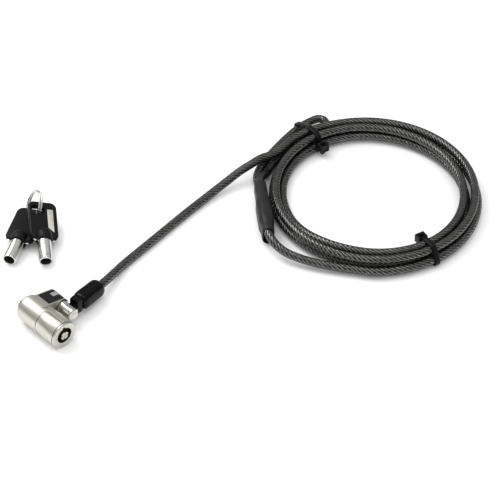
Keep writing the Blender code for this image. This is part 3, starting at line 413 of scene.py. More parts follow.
def rod(p0, p1, radius, n):
    p0, p1 = np.asarray(p0, float), np.asarray(p1, float)
    d = unit(p1 - p0)
    ref = np.array([0, 0, 1.0]) if abs(d[2]) < 0.9 else np.array([1.0, 0, 0])
    u = unit(np.cross(ref, d))
    v = np.cross(d, u)
    verts = [tuple(p + radius * (cos(a) * u + sin(a) * v)) for p in (p0, p1) for a in turns(n)]
    faces = [tuple(range(n - 1, -1, -1)), tuple(range(n, 2 * n))]
    return verts, faces + quads(range(n), range(n, 2 * n))


def y_rod(y0, y1, radius, n, x=0, z=0):
    return rod((x, y0, z), (x, y1, z), radius, n)


def z_rod(z0, z1, radius, n, x=0, y=0):
    return rod((x, y, z0), (x, y, z1), radius, n)


def loft(rows, closed=False):
    """Skin over rows of equal length; closed joins the last row to the first."""
    n = len(rows[0])
    rings = [range(k * n, (k + 1) * n) for k in range(len(rows))]
    following = rings[1:] + rings[:1] if closed else rings[1:]
    faces = [face for a, b in zip(rings, following) for face in quads(a, b)]
    if not closed:
        faces += [tuple(reversed(rings[0])), tuple(rings[-1])]
    return [tuple(p) for row in rows for p in row], faces


def face_outwards(mesh, recalculate=True):
    bm = bmesh.new()
    bm.from_mesh(mesh)
    if recalculate:
        bmesh.ops.recalc_face_normals(bm, faces=bm.faces)
    if bm.calc_volume(signed=True) < 0:
        bmesh.ops.reverse_faces(bm, faces=bm.faces)
    bm.to_mesh(mesh)
    bm.free()


def to_mesh(name, verts, faces):
    mesh = bpy.data.meshes.new(name)
    mesh.from_pydata([tuple(v) for v in verts], [], [tuple(f) for f in faces])
    face_outwards(mesh)
    return mesh


def link_object(name, mesh):
    ob = bpy.data.objects.new(name, mesh)
    bpy.context.scene.collection.objects.link(ob)
    return ob


def evaluated(ob):
    bpy.context.view_layer.update()
    depsgraph = bpy.context.evaluated_depsgraph_get()
    return bpy.data.meshes.new_from_object(ob.evaluated_get(depsgraph))


def solid(shape, add=(), cut=()):
    """The shape with others joined to it and then others cut out of it."""
    base = link_object("work", to_mesh("work", *shape))
    steps = [("UNION", other) for other in add] + [("DIFFERENCE", other) for other in cut]
    for operation, other in steps:
        tool = link_object("tool", to_mesh("tool", *other))
        mod = base.modifiers.new("cut", "BOOLEAN")
        mod.operation = operation
        mod.solver = "EXACT"
        mod.object = tool
        mesh = evaluated(base)
        base.modifiers.clear()
        base.data = mesh
        bpy.data.objects.remove(tool, do_unlink=True)
    bm = bmesh.new()
    bm.from_mesh(base.data)
    bmesh.ops.remove_doubles(bm, verts=bm.verts, dist=0.0012)
    bm.verts.index_update()
    verts = [tuple(v.co) for v in bm.verts]
    faces = [tuple(v.index for v in f.verts) for f in bm.faces]
    bm.free()
    bpy.data.objects.remove(base, do_unlink=True)
    return verts, faces


def bevelled(shape, width, segments=3, angle=35):
    """Round the edges that are sharper than the angle."""
    ob = link_object("work", to_mesh("work", *shape))
    mod = ob.modifiers.new("edge", "BEVEL")
    mod.width = width
    mod.segments = segments
    mod.limit_method = "ANGLE"
    mod.angle_limit = rad(angle)
    mod.use_clamp_overlap = True
    mod.miter_outer = "MITER_ARC"
    mesh = evaluated(ob)
    verts = [tuple(v.co) for v in mesh.vertices]
    faces = [tuple(p.vertices) for p in mesh.polygons]
    bpy.data.objects.remove(ob, do_unlink=True)
    return verts, faces


def publish(name, mesh, body, replaces, sharp):
    mesh.polygons.foreach_set("use_smooth", [True] * len(mesh.polygons))
    mesh.set_sharp_from_angle(angle=rad(sharp))
    ob = link_object(name, mesh)
    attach(ob, body)
    if replaces:
        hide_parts(replaces)


def piece(name, shape, material, body, replaces="", place=None, sharp=32, bore=None):
    """Finished piece. place() moves points into the layout; bore(centre), asked before that
    move, picks the faces inside bores and recesses that get the black painted-shade material."""
    verts, faces = shape
    dark = [bore is not None and bool(bore(np.mean([verts[i] for i in f], axis=0)))
            for f in faces]
    if place is not None:
        verts = [place(v) for v in verts]
    mesh = to_mesh(name, [to_row(v) for v in verts], faces)
    mesh.materials.append(MATERIALS[material])
    # faces inside bores and recesses get the black painted shade
    if any(dark):
        mesh.materials.append(MATERIALS["bore_painted_shade"])
        mesh.polygons.foreach_set("material_index", [int(d) for d in dark])
    publish(name, mesh, body, replaces, sharp)


# ---- Frames: each turns a piece's own point into the layout ----

def in_head(p):
    """Rolled about the barrel axis and lifted so that the barrel rests on the floor."""
    c, s = cos(rad(HEAD_ROLL)), sin(rad(HEAD_ROLL))
    x, y, z = p
    return (x * c + z * s, y, -x * s + z * c + BARREL_R)


PIVOT = np.array(in_head((ARM_X, PIVOT_Y, ARM_Z)))
yaw_c, yaw_s = cos(rad(CABLE_YAW)), sin(rad(CABLE_YAW))
pitch_c, pitch_s = cos(rad(CABLE_PITCH)), sin(rad(CABLE_PITCH))
BOOT_X = np.array([yaw_c * pitch_c, yaw_s * pitch_c, pitch_s])
BOOT_Y = np.array([-yaw_s, yaw_c, 0.0])
BOOT_Z = np.cross(BOOT_X, BOOT_Y)


def in_boot(p):
    """Origin at the pivot, X along the boot."""
    return tuple(PIVOT + p[0] * BOOT_X + p[1] * BOOT_Y + p[2] * BOOT_Z)


def in_knuckle(p):
    """Swivel axis on Y, pitched with the cable."""
    x, y, z = p
    return (PIVOT[0] + x * pitch_c - z * pitch_s, y, PIVOT[2] + x * pitch_s + z * pitch_c)


# ---- Housing: rear barrel, side arm, and a rail running forward beside the sleeve ----
BARREL_N = 120
RAIL_A0, RAIL_A1 = -24.0, 98.0
SHELL_FRONT = SPLIT_Y + GAP
SLEEVE_FRONT = -HEAD_L + BEZEL_T + GAP
SEAM_R = 1.7                         # fillet where the rail meets the rear barrel
LABEL_X0, LABEL_MARGIN, LABEL_T = 3.4, 0.62, 0.32
LABEL_END = -40.0                    # angle at which the label pocket ends round the arm
DOWEL_A, DOWEL_Y = 92.0, -12.7

rear = lathe([(0, 0)] + rim_arc(BARREL_R, 0, 0.7, 1, range(0, 91, 15))
             + [(BARREL_R, SHELL_FRONT), (0, SHELL_FRONT)], BARREL_N)
arm = prism([(0.0, ARM_Z - ARM_R), (ARM_X, ARM_Z - ARM_R)]
            + arc(ARM_X, ARM_Z, ARM_R, -84, 90, 30) + [(0.0, ARM_Z + ARM_R)], ARM_Y0, ARM_Y1)
rail = sector(BARREL_R - 0.01, SLEEVE_IN, RAIL_A0, RAIL_A1, SLEEVE_FRONT, SHELL_FRONT + 1.0, 42)

# the housing keeps a fillet at the seam's corner; the sleeve loses its corner to it
corner_x = BARREL_R * cos(rad(RAIL_A1))
seam_x, seam_y = corner_x - GAP - SEAM_R, SPLIT_Y - SEAM_R
seam_fillet = solid(
    sector(BARREL_R - 0.01, SLEEVE_IN, RAIL_A1 - 4, RAIL_A1 + 17, seam_y, SHELL_FRONT + 0.6, 20),
    cut=[z_rod(3, 9, SEAM_R + GAP, 48, seam_x, seam_y),
         box(corner_x - 9, seam_x, SPLIT_Y - 4, SHELL_FRONT - 0.02, 3, 9)])

core_cavity = lathe([(0, -4.4), (CORE_BORE + 0.1, -4.4), (CORE_BORE + 0.1, -30), (0, -30)], 48)
core_room = lathe([(0, SPLIT_Y + 0.6), (CORE_R + GAP, SPLIT_Y + 0.6), (CORE_R + GAP, -30),
                   (0, -30)], 48)
spindle_bore = y_rod(-6, 2, SPINDLE_R + 0.25, 28)
label_pocket = prism(
    [(LABEL_X0, ARM_Z + ARM_R + 1.0), (ARM_X, ARM_Z + ARM_R + 1.0)]
    + arc(ARM_X, ARM_Z, ARM_R + 1.0, 84, LABEL_END, 20)
    + arc(ARM_X, ARM_Z, ARM_R - LABEL_MARGIN, LABEL_END, 90, 24)
    + [(LABEL_X0, ARM_Z + ARM_R - LABEL_MARGIN)], ARM_Y0 + LABEL_MARGIN, ARM_Y1 - LABEL_MARGIN)
drum_recess = y_rod(ARM_Y0 + 1.1, ARM_Y0 - 1, DRUM_R + 0.25, 56, ARM_X, ARM_Z)
swivel_bore = y_rod(ARM_Y1 - 2.2, ARM_Y0 - 1, 1.9, 32, ARM_X, ARM_Z)
hole_in, hole_out = on_circle(5.35, DOWEL_A), on_circle(9, DOWEL_A)
dowel_hole = rod((hole_in[0], DOWEL_Y, hole_in[1]), (hole_out[0], DOWEL_Y, hole_out[1]), 0.92, 24)


# faces inside the sleeve and round the drum recess, which are painted black as shade
def head_bore(c):
    barrel_r = hypot(c[0], c[2])
    swivel_r = hypot(c[0] - ARM_X, c[2] - ARM_Z)
    return ((barrel_r < SLEEVE_IN + 0.04 and -HEAD_L + 0.35 < c[1] < -0.1)
            or (swivel_r < DRUM_R + 0.3 and ARM_Y0 + 0.25 < c[1] < ARM_Y1 - 0.5))


housing = solid(rear, add=[arm, rail, seam_fillet],
                cut=[core_cavity, core_room, spindle_bore, label_pocket, drum_recess,
                     swivel_bore, dowel_hole])
piece("housing_shell", bevelled(housing, 0.22, angle=38), "satin_nickel", "lock_head",
      "lock_housing", in_head, bore=head_bore)

# ---- Front sleeve: the rest of the barrel ring ----
gap_angle = degrees(GAP / BARREL_R)
seam_corner = solid(box(seam_x, corner_x + 2, seam_y, SPLIT_Y + 1, 3, 9),
                    cut=[z_rod(2, 10, SEAM_R, 48, seam_x, seam_y)])
sleeve = solid(sector(BARREL_R, SLEEVE_IN, RAIL_A1 + gap_angle, 360 + RAIL_A0 - gap_angle,
                      SLEEVE_FRONT, SPLIT_Y, 92), cut=[seam_corner])
piece("front_sleeve_shell", bevelled(sleeve, 0.10, 2, 38), "satin_nickel", "lock_head",
      "front_sleeve", in_head, bore=head_bore)

# ---- Bezel: front ring with a notch in the keyway ----
NOTCH_A, NOTCH_R = 104.0, 0.85
bezel = lathe([(KEYWAY_R, -HEAD_L + 0.3), (KEYWAY_R + 0.08, -HEAD_L + 0.1),
               (KEYWAY_R + 0.3, -HEAD_L), (BARREL_R - 0.75, -HEAD_L)]
              + rim_arc(BARREL_R, -HEAD_L, 0.6, -1, range(15, 91, 15))
              + [(BARREL_R, -HEAD_L + BEZEL_T - 0.12), (BARREL_R - 0.12, -HEAD_L + BEZEL_T),
                 (KEYWAY_R, -HEAD_L + BEZEL_T)], BARREL_N)
notch = y_rod(-HEAD_L - 1, -HEAD_L + 3, NOTCH_R, 32, *on_circle(KEYWAY_R + 0.25, NOTCH_A))
piece("front_bezel_ring", bevelled(solid(bezel, cut=[notch]), 0.08, 2, 50),
      "satin_nickel_face", "lock_head", "front_bezel", in_head, bore=head_bore)


# ---- Dowel: turned on Y, then laid along its radial hole ----
def in_dowel(p):
    c, s = on_circle(1.0, DOWEL_A)
    return in_head((p[1] * c + p[0] * s, DOWEL_Y + p[2], p[1] * s - p[0] * c))


piece("dowel_pin", lathe([(0, 6.83), (0.5, 6.83), (0.62, 6.78), (0.72, 6.68), (0.72, 5.6),
                          (0, 5.6)], 32),
      "plain_steel", "lock_head", "retaining_dowel", in_dowel)

# ---- Label: a sheet with rounded corners wrapped over the arm ----
LABEL_IN = ARM_R - LABEL_MARGIN + GAP
LABEL_OUT = LABEL_IN + LABEL_T
LABEL_EDGE = 0.08                    # width of the sloping edge
FLAT_L = ARM_X - (LABEL_X0 + GAP)
WRAP_L = rad(90 - (LABEL_END + 6)) * LABEL_OUT


def on_arm(s, y, t):
    """Point at distance t from the arm's middle; s runs over the flat top and round the end."""
    if s <= FLAT_L:
        return (LABEL_X0 + GAP + s, y, ARM_Z + t)
    a = rad(90) - (s - FLAT_L) / LABEL_OUT
    return (ARM_X + t * cos(a), y, ARM_Z + t * sin(a))


def label_sheet(s0, s1, y0, y1, corner, t0, t1, n=56, across=9):
    rows = []
    for i in range(n + 1):
        # stations closer together at the rounded corners
        s = s0 + (s1 - s0) * (0.5 - 0.5 * cos(pi * i / n))
        d = max(0.0, corner - min(s - s0, s1 - s))
        inset = corner - sqrt(max(0.0, corner * corner - d * d))
        side = t1 - (0.06 if 0 < i < n else 0.10)
        a, b = y0 + inset, y1 - inset
        width = b - a - 2 * LABEL_EDGE
        rows.append([on_arm(s, a, t0), on_arm(s, a, side), on_arm(s, a + LABEL_EDGE, t1)]
                    + [on_arm(s, a + LABEL_EDGE + width * k / across, t1)
                       for k in range(1, across)]
                    + [on_arm(s, b - LABEL_EDGE, t1), on_arm(s, b, side), on_arm(s, b, t0)])
    return loft(rows)


piece("arm_inlay", label_sheet(0.0, FLAT_L + WRAP_L, ARM_Y0 + LABEL_MARGIN + GAP,
                               ARM_Y1 - LABEL_MARGIN - GAP, 0.9, LABEL_IN, LABEL_OUT),
      "label_black", "lock_head", "arm_label", in_head)
piece("arm_inlay_mark", label_sheet(5.6, 9.6, -6.9, -4.0, 0.25, LABEL_OUT - 0.02,
                                    LABEL_OUT + 0.03, n=24, across=4),
      "label_print_silver", "lock_head", place=in_head)

# ---- Centre post with four drive grooves ----
POST_N = 96
GROOVE_DEPTH, GROOVE_HALF = 0.80, 13.0   # half width in degrees
post_outline = []
for i in range(POST_N):
    a = 360.0 * i / POST_N
    off_groove = abs(((a + 45) % 90) - 45)
    r = POST_R - GROOVE_DEPTH * max(0.0, 1 - (off_groove / GROOVE_HALF) ** 4)
    post_outline.append(on_circle(r, a))
post_dimple = lathe([(0, -HEAD_L + 0.5), (0.8, -HEAD_L - 0.4), (0.8, -HEAD_L - 1),
                     (0, -HEAD_L - 1)], 32)
post = solid(prism(post_outline, -HEAD_L - 0.2, PLUG_Y0 - 0.4),
             add=[y_rod(PLUG_Y0 - 1, PLUG_Y0 + 2.3, 1.2, 24)], cut=[post_dimple])
piece("keyway_post", bevelled(post, 0.14, angle=42), "polished_chrome", "plug",
      "centre_post", in_head)

# ---- Nose at the +Y end: T-bar, guard and washer ----
BAR_Y0, BAR_Y1 = 3.1, 4.3
BAR_L, BAR_W = 3.15, 1.3             # half sizes
bar = prism(rounded([(-BAR_L, -BAR_W), (BAR_L, -BAR_W), (BAR_L, BAR_W), (-BAR_L, BAR_W)],
                    0.9, 6), BAR_Y0, BAR_Y1)
t_bar = solid(y_rod(-15.8, BAR_Y1 - 0.4, SPINDLE_R, 40), add=[bar])
piece("t_bar", bevelled(t_bar, 0.16, angle=40), "turned_steel", "plug",
      "t_bar_spindle", in_head)
guard = solid(lathe([(SPINDLE_R + 0.3, GAP), (SPINDLE_R + 0.3, 1.2), (3.3, 1.2), (3.3, GAP)], 64),
              add=[box(2.05, 3.1, 0.6, 2.7, -1.2, 1.2), box(-3.1, -2.05, 0.6, 2.7, -1.2, 1.2)])
piece("nose_guard_ring", bevelled(guard, 0.12, angle=40), "plain_steel", "lock_head",
      "nose_guard", in_head)
washer = rounded([(3.65, GAP, 0), (3.65, 1.1, 0.15), (5.8, 1.1, 0.35), (6.1, GAP, 0.1)], 0.1)
piece("nose_washer_ring", lathe(washer, 96), "matte_shrink_tube", "lock_head",
      "nose_washer", in_head)

# ---- Swivel drum with a slot for the fork's tongue, and the rivet through it ----
DRUM_Y0 = ARM_Y0 + 0.8
TONGUE_T, TONGUE_W = 1.7, 1.7        # full thickness, half width
TONGUE_H = TONGUE_T / 2
RIVET_HOLE_R = 0.95

drum = lathe([(0, ARM_Y1 - 2.6), (1.6, ARM_Y1 - 2.6), (1.6, DRUM_Y0), (DRUM_R - 0.3, DRUM_Y0),
              (DRUM_R, DRUM_Y0 - 0.3)]
             + rim_arc(DRUM_R, DRUM_END, 0.9, -1, range(90, 9, -10))
             + [(1.5, DRUM_END), (1.3, DRUM_END + 0.12), (0, DRUM_END + 0.12)], 72)
drum = solid(drum, cut=[
    box(-1.75, 6, PIVOT_Y - 3.8, PIVOT_Y + 3.5, -TONGUE_H - GAP, TONGUE_H + GAP),
    box(2.3, 6, DRUM_END - 1, ARM_Y0 - 0.4, -4, 4),
    z_rod(-4, 4, RIVET_HOLE_R, 28, 0, PIVOT_Y),
    rod((-1.5, DRUM_END + 1.5, 2.3), (-3.1, DRUM_END + 1.5, 3.4), 0.45, 24)])
piece("swivel_drum", bevelled(drum, 0.12, angle=42), "polished_chrome", "knuckle",
      "swivel_knuckle", in_knuckle)
piece("pivot_rivet", lathe([(0, 2.95), (0.62, 2.95), (0.8, 2.8), (0.8, -2.8), (0.62, -2.95),
                            (0, -2.95)], 36),
      "turned_steel", "knuckle", "pivot_pin",
      lambda p: in_knuckle((p[0], PIVOT_Y + p[2], p[1])))

# ---- Fork: tongue, saddle round the drum, and a stem into the boot ----
SADDLE_R = 5.0
tongue = [(0.8 * TONGUE_W * cos(rad(a)), TONGUE_W * sin(rad(a))) for a in range(90, 271, 9)]
tongue += [(5.4, -TONGUE_W), (5.4, TONGUE_W)]
saddle = arc(0, 0, SADDLE_R, -30, 30, 15) + [(6.3, 2.8), (7.9, 2.6), (7.9, -2.6), (6.3, -2.8)]
fork = solid(slab(tongue, -TONGUE_H, TONGUE_H),
             add=[slab(saddle, -3.5, 3.5), rod((6.8, 0, 0), (BOOT_S0 + 5.0, 0, 0), 2.75, 40)],
             cut=[z_rod(-5, 5, RIVET_HOLE_R, 28),
                  rod((BOOT_S0 + 1.6, 0, 0), (BOOT_S0 + 7.0, 0, 0), 1.8, 28)])
piece("fork_body", bevelled(fork, 0.32, 4, 36), "gloss_black_fork", "cable_assembly",
      "cable_fork", in_boot)

# ---- Boot: rounded-square sleeve, domed at the cable end ----
BOOT_N = 72
SKIN_S0 = BOOT_S0 - 0.1
# distance from SKIN_S0, radius, squareness
BOOT_MOUTH = ((0.02, 3.2, 2.4), (0.25, 3.65, 2.5), (0.8, 4.05, 2.7), (1.6, 4.34, 3.0))
# position along the boot, radius: lip and bore, back to the mouth
BOOT_BORE = ((BOOT_S1 - 0.02, 2.75), (BOOT_S1 - 0.3, 2.45), (BOOT_S1 - 1.2, 2.36),
             (BOOT_S0 + 6.0, 2.36), (BOOT_S0 + 6.0, 3.0), (SKIN_S0, 3.0))


def squarish_ring(s, r, squareness):
    ring = []
    for a in turns(BOOT_N):
        c, t = cos(a), sin(a)
        q = (abs(c) ** squareness + abs(t) ** squareness) ** (-1 / squareness)
        ring.append((s, r * 0.97 * c * q, r * 0.97 * t * q))
    return ring


rows = [squarish_ring(SKIN_S0 + ds, r, k) for ds, r, k in BOOT_MOUTH]
for i in range(10):
    s = SKIN_S0 + 2.6 + (BOOT_S1 - 4.0 - SKIN_S0 - 2.6) * i / 9
    rows.append(squarish_ring(s, BOOT_R + 0.03 * sin(i * 0.7), 3.1))
for a in range(15, 91, 15):
    rows.append(squarish_ring(BOOT_S1 - 3.0 + 2.9 * sin(rad(a)),
                              BOOT_R - 1.55 * (1 - cos(rad(a))), 3.0 - a / 150))
rows += [[(s, r * cos(a), r * sin(a)) for a in turns(BOOT_N)] for s, r in BOOT_BORE]
piece("boot_sleeve", loft(rows, closed=True), "gloss_black_boot", "cable_assembly",
      "strain_boot", in_boot, sharp=50)

# ---- Cable path ----
# From the boot over the floor to the coil; turns inward on the top layer, outward on the
# bottom layer; through the shrink sleeve, round an end loop and back into the sleeve.
COIL_CENTRE, COIL_LIFT = (184.2, -55.0), 1.45
R_JOIN, R_TOP, R_INNER = 59.2, 56.4, 49.1
Z_LOW = CABLE_R + COIL_LIFT
Z_TOP = Z_LOW + PITCH
JOIN_A = 105.0                       # coil angle where the cable joins
STEP, TURNS_END = 15, 1320           # winding angle: step and total
SETTLE_U = 58.0                      # winding angle over which the first turn draws in
DROP_U0 = STEP * round((SETTLE_U + 360.0 * (R_TOP - R_INNER) / PITCH) / STEP)
DROP_U1 = DROP_U0 + 60.0             # the cable drops to the bottom layer between these two

FLOOR_A, FLOOR_B = np.array([60.0, -4.6, CABLE_R]), np.array([106.5, 2.4, CABLE_R])
# x, y, z: rising from the floor onto the coil
RISE = ((122.4, 4.0, 2.7), (137.9, 4.4, 4.7), (145.3, 4.1, 6.3), (152.4, 2.9, 7.9),
        (160.2, 1.85, 8.9))
# coil radius, coil angle, z: from the last turn up to the shrink sleeve
CLIMB = ((58.0, 216.0, 3.7), (58.7, 207.0, 3.8), (60.4, 198.0, 4.1), (62.6, 189.5, 4.7),
         (64.9, 182.2, 5.9), (65.7, 177.0, 7.5))
LEG_A0, LEG_A1 = 108.0, 69.0         # coil angles between which the loop's legs run
EYE_R = 3.7                          # half distance between the legs at the end loop


def ease(t):
    t = min(1.0, max(0.0, t))
    return t * t * (3 - 2 * t)


def polar(r, a, z):
    return np.array([*on_circle(r, a, *COIL_CENTRE), z])


def clockwise(a):
    """Direction of the winding at a coil angle."""
    return np.array([sin(rad(a)), -cos(rad(a)), 0.0])


def coil_radius(u):
    if u <= SETTLE_U:
        return R_JOIN + (R_TOP - R_JOIN) * ease(u / SETTLE_U)
    return (R_TOP - PITCH * (min(u, DROP_U0) - SETTLE_U) / 360.0
            + PITCH * max(0.0, u - DROP_U1) / 360.0)


def coil_height(u):
    return Z_TOP + (Z_LOW - Z_TOP) * ease((u - DROP_U0) / (DROP_U1 - DROP_U0))


def swell(a, centre):
    return max(0.0, cos(rad(a - centre))) ** 2


def coil_point(r, a, z):
    """The turns lie a little looser to the right and are drawn in elsewhere."""
    loose = 0.40 * swell(a, -10) + 0.15 * swell(a, 190)
    drawn = -2.9 * swell(a, 136) - 1.0 * swell(a, -43.6) + 1.1 * swell(a, 226)
    return polar(R_TOP - (R_TOP - r) * (1 + loose) + drawn, a, z)


def curve(start, start_dir, end, end_dir, reach, n):
    """Bezier points after the start; reach is the length of both handles."""
    p1, p2 = start + start_dir * reach, end - end_dir * reach
    return [(1 - t) ** 3 * start + 3 * (1 - t) ** 2 * t * p1 + 3 * (1 - t) * t * t * p2
            + t ** 3 * end for t in (i / n for i in range(1, n + 1))]


boot_end = np.array(in_boot((BOOT_S1, 0, 0)))
join = coil_point(coil_radius(0), JOIN_A, Z_TOP)
floor_dir = unit(FLOOR_B - FLOOR_A)
rise_dir = unit(np.array([1.0, -0.06, 0.0]))
path = [np.array(in_boot((BOOT_S0 + 8.0, 0, 0))), np.array(in_boot((BOOT_S0 + 14.0, 0, 0))),
        boot_end]
path += curve(boot_end, BOOT_X, FLOOR_A, floor_dir, 8, 5)
path += [FLOOR_A + (FLOOR_B - FLOOR_A) * (i / 3) for i in (1, 2, 3)]
path += [np.array(p) for p in RISE]
path += curve(path[-1], rise_dir, join, clockwise(JOIN_A), 3, 2)
path += [coil_point(coil_radius(u), JOIN_A - u, coil_height(u))
         for u in range(STEP, TURNS_END + 1, STEP)]
path += [polar(*station) for station in CLIMB]

# shrink sleeve: a straight line beside the coil, holding two cables one above the other
SHRINK_A, SHRINK_B = polar(63.8, 169.0, 0)[:2], polar(57.9, 133.0, 0)[:2]
SHRINK_Z = 6.4
HALF_PITCH = PITCH / 2
shrink_dir = unit(SHRINK_B - SHRINK_A)
shrink_side = np.array([-shrink_dir[1], shrink_dir[0]])
shrink_dir_3d = np.array([*shrink_dir, 0.0])


def in_shrink(s, up, side=0.0):
    """s along the sleeve (0 to 1), up above its middle line."""
    p = SHRINK_A + (SHRINK_B - SHRINK_A) * s + shrink_side * side
    return np.array([p[0], p[1], SHRINK_Z + up])


path += [in_shrink(s, HALF_PITCH) for s in (-0.04, 0.35, 1.02)]


def leg_station(a):
    """Radius of the legs' middle line and half distance between them at a coil angle."""
    return (61.8 + 4.6 * ease((100.0 - a) / 30.0),
            HALF_PITCH + (EYE_R - HALF_PITCH) * ease((84.0 - a) / 16.0))


# middle line of the legs: point, half distance, twist (90 is one above the other)
MOUTH_STEPS = LEG_STEPS = 5
leg_r, leg_h = leg_station(LEG_A0)
mouth, leg_start = in_shrink(1.02, 0), coil_point(leg_r, LEG_A0, Z_LOW)
middle = []
for i, p in enumerate(curve(mouth, shrink_dir_3d, leg_start, clockwise(LEG_A0), 8, MOUTH_STEPS)):
    t = ease((i + 1) / MOUTH_STEPS / 0.72)
    p = np.array([p[0], p[1], SHRINK_Z + (Z_LOW - SHRINK_Z) * t])
    middle.append((p, leg_h, 90.0 * (1 - t)))
for i in range(1, LEG_STEPS + 1):
    a = LEG_A0 + (LEG_A1 - LEG_A0) * i / LEG_STEPS
    leg_r, leg_h = leg_station(a)
    middle.append((coil_point(leg_r, a, Z_LOW), leg_h, 0.0))

UP = np.array([0.0, 0.0, 1.0])
outward_leg, return_leg = [], []
for k, (p, h, twist) in enumerate(middle):
    before = middle[k - 1][0] if k else mouth
    after = middle[k + 1][0] if k + 1 < len(middle) else p + clockwise(LEG_A1)
    along = unit((after - before) * np.array([1, 1, 0]))
    side = np.array([-along[1], along[0], 0.0])
    spread = h + 0.12 * sin(rad(2 * twist))
    offset = spread * (cos(rad(twist)) * side - sin(rad(twist)) * UP)
    outward_leg.append(p - offset)
    return_leg.append(p + offset)
path += outward_leg
# half circle from one leg to the other, in the frame of the last station
for i in range(1, 8):
    w = rad(180.0 * i / 8)
    path.append(p + h * (-cos(w) * side + sin(w) * along))
path += reversed(return_leg)
path += [in_shrink(1.02, -HALF_PITCH), in_shrink(0.12, -HALF_PITCH)]


def spline_point(knots, points, t):
    """Centripetal Catmull-Rom point: repeated blending between knots."""
    for span in (1, 2):
        points = [(knots[i + span] - t) / (knots[i + span] - knots[i]) * points[i]
                  + (t - knots[i]) / (knots[i + span] - knots[i]) * points[i + 1]
                  for i in range(len(points) - 1)]
    return ((knots[2] - t) / (knots[2] - knots[1]) * points[0]
            + (t - knots[1]) / (knots[2] - knots[1]) * points[1])


def smooth_path(points, spacing):
    """Spline through the points, resampled evenly: (positions, lengths along)."""
    points = np.array(points, float)
    points = np.vstack([2 * points[0] - points[1], points, 2 * points[-1] - points[-2]])
    dense = []
    for k in range(1, len(points) - 2):
        window = points[k - 1:k + 3]
        knots = [0.0]
        for a, b in zip(window, window[1:]):
            knots.append(knots[-1] + np.linalg.norm(b - a) ** 0.5)
        dense += [spline_point(knots, window, t)
                  for t in np.linspace(knots[1], knots[2], 14, endpoint=False)]
    dense.append(points[-2])
    dense = np.array(dense)
    lengths = np.r_[0, np.cumsum(np.linalg.norm(np.diff(dense, axis=0), axis=1))]
    s = np.linspace(0, lengths[-1], int(lengths[-1] / spacing) + 1)
    return np.stack([np.interp(s, lengths, dense[:, i]) for i in range(3)], 1), s


# ---- Cable jacket and wire rope ----
def path_frames(centres):
    """Two directions across the path at each point, without twist along it."""
    tangents = np.gradient(centres, axis=0)
    tangents /= np.linalg.norm(tangents, axis=1)[:, None]
    across = np.zeros_like(centres)
    u = unit(np.cross([0, 0, 1.0], tangents[0]))
    for k, tangent in enumerate(tangents):
        u = unit(u - tangent * (u @ tangent))
        across[k] = u
    return across, np.cross(tangents, across)


def tube(name, centres, s, radii, phases, material, replaces, inner=None):
    """Tube whose cross section turns by phases (radians); inner is the radius of a bore.
    UV x is millimetres along, y is 0 to 1 round."""
    u_dir, v_dir = path_frames(centres)
    m, n = len(centres), len(radii)
    base = 2 * pi * np.arange(n) / n

    def skin(radius, angles):
        ring = (np.cos(angles)[:, :, None] * u_dir[:, None, :]
                + np.sin(angles)[:, :, None] * v_dir[:, None, :])
        return (centres[:, None, :] + radius * ring).reshape(-1, 3)

    k, i = np.arange(m - 1)[:, None], np.arange(n)[None, :]
    corners = ((k, i), (k, i + 1), (k + 1, i + 1), (k + 1, i))
    walls = np.stack([a * n + b % n for a, b in corners], -1).reshape(-1, 4)
    uvs = np.stack([np.stack(np.broadcast_arrays(s[a], b / n), -1) for a, b in corners],
                   2).reshape(-1, 2)
    verts = skin(radii[None, :, None], base[None, :] + phases[:, None])
    faces = [tuple(q) for q in walls]
    if inner is None:
        faces += [tuple(range(n - 1, -1, -1)), tuple(range((m - 1) * n, m * n))]
        uvs = np.vstack([uvs, np.zeros((2 * n, 2))])
    else:
        offset = len(verts)
        verts = np.vstack([verts, skin(inner, base[None, :])])
        faces += [tuple(q[::-1] + offset) for q in walls]
        last = (m - 1) * n
        for a in range(n):
            b = (a + 1) % n
            faces.append((b, a, offset + a, offset + b))
            faces.append((last + a, last + b, offset + last + b, offset + last + a))
        bore_uvs = uvs.reshape(-1, 4, 2)[:, ::-1].reshape(-1, 2)
        uvs = np.vstack([uvs, bore_uvs, np.zeros((8 * n, 2))])
    mesh = bpy.data.meshes.new(name)
    mesh.from_pydata([to_row(v) for v in verts], [], faces)
    layer = mesh.uv_layers.new(name="along_round")
    layer.data.foreach_set("uv", uvs.astype(np.float32).ravel())
    face_outwards(mesh, recalculate=False)
    mesh.materials.append(MATERIALS[material])
    publish(name, mesh, "cable_assembly", replaces, sharp=60)


cable, cable_s = smooth_path(path, 2.0)
tube("vinyl_jacket", cable, cable_s, np.full(28, CABLE_R), np.zeros(len(cable)),
     "smoke_vinyl_jacket", "cable_jacket", inner=JACKET_IN)

# rope section: 12 round strands, 5 points each
STRANDS, STRAND_N = 12, 5
STRAND_PITCH_R, STRAND_R = 1.28, 0.40
rope, rope_s = smooth_path([np.array(in_boot((BOOT_S0 + 2.2, 0, 0)))] + path[:-1]
                           + [path[-1] + shrink_dir_3d * 0.6], 1.5)
strand_a = (np.arange(STRANDS * STRAND_N) % STRAND_N - STRAND_N / 2) / STRAND_N * rad(30)
rope_r = (STRAND_PITCH_R * np.cos(strand_a)
          + np.sqrt(STRAND_R ** 2 - (STRAND_PITCH_R * np.sin(strand_a)) ** 2))
tube("rope_strands", rope, rope_s, rope_r, 2 * pi * rope_s / ROPE_LAY, "wire_rope_strands",
     "wire_rope_core")

# ---- Shrink sleeve ----
SHRINK_R = CABLE_R + GAP + 0.05
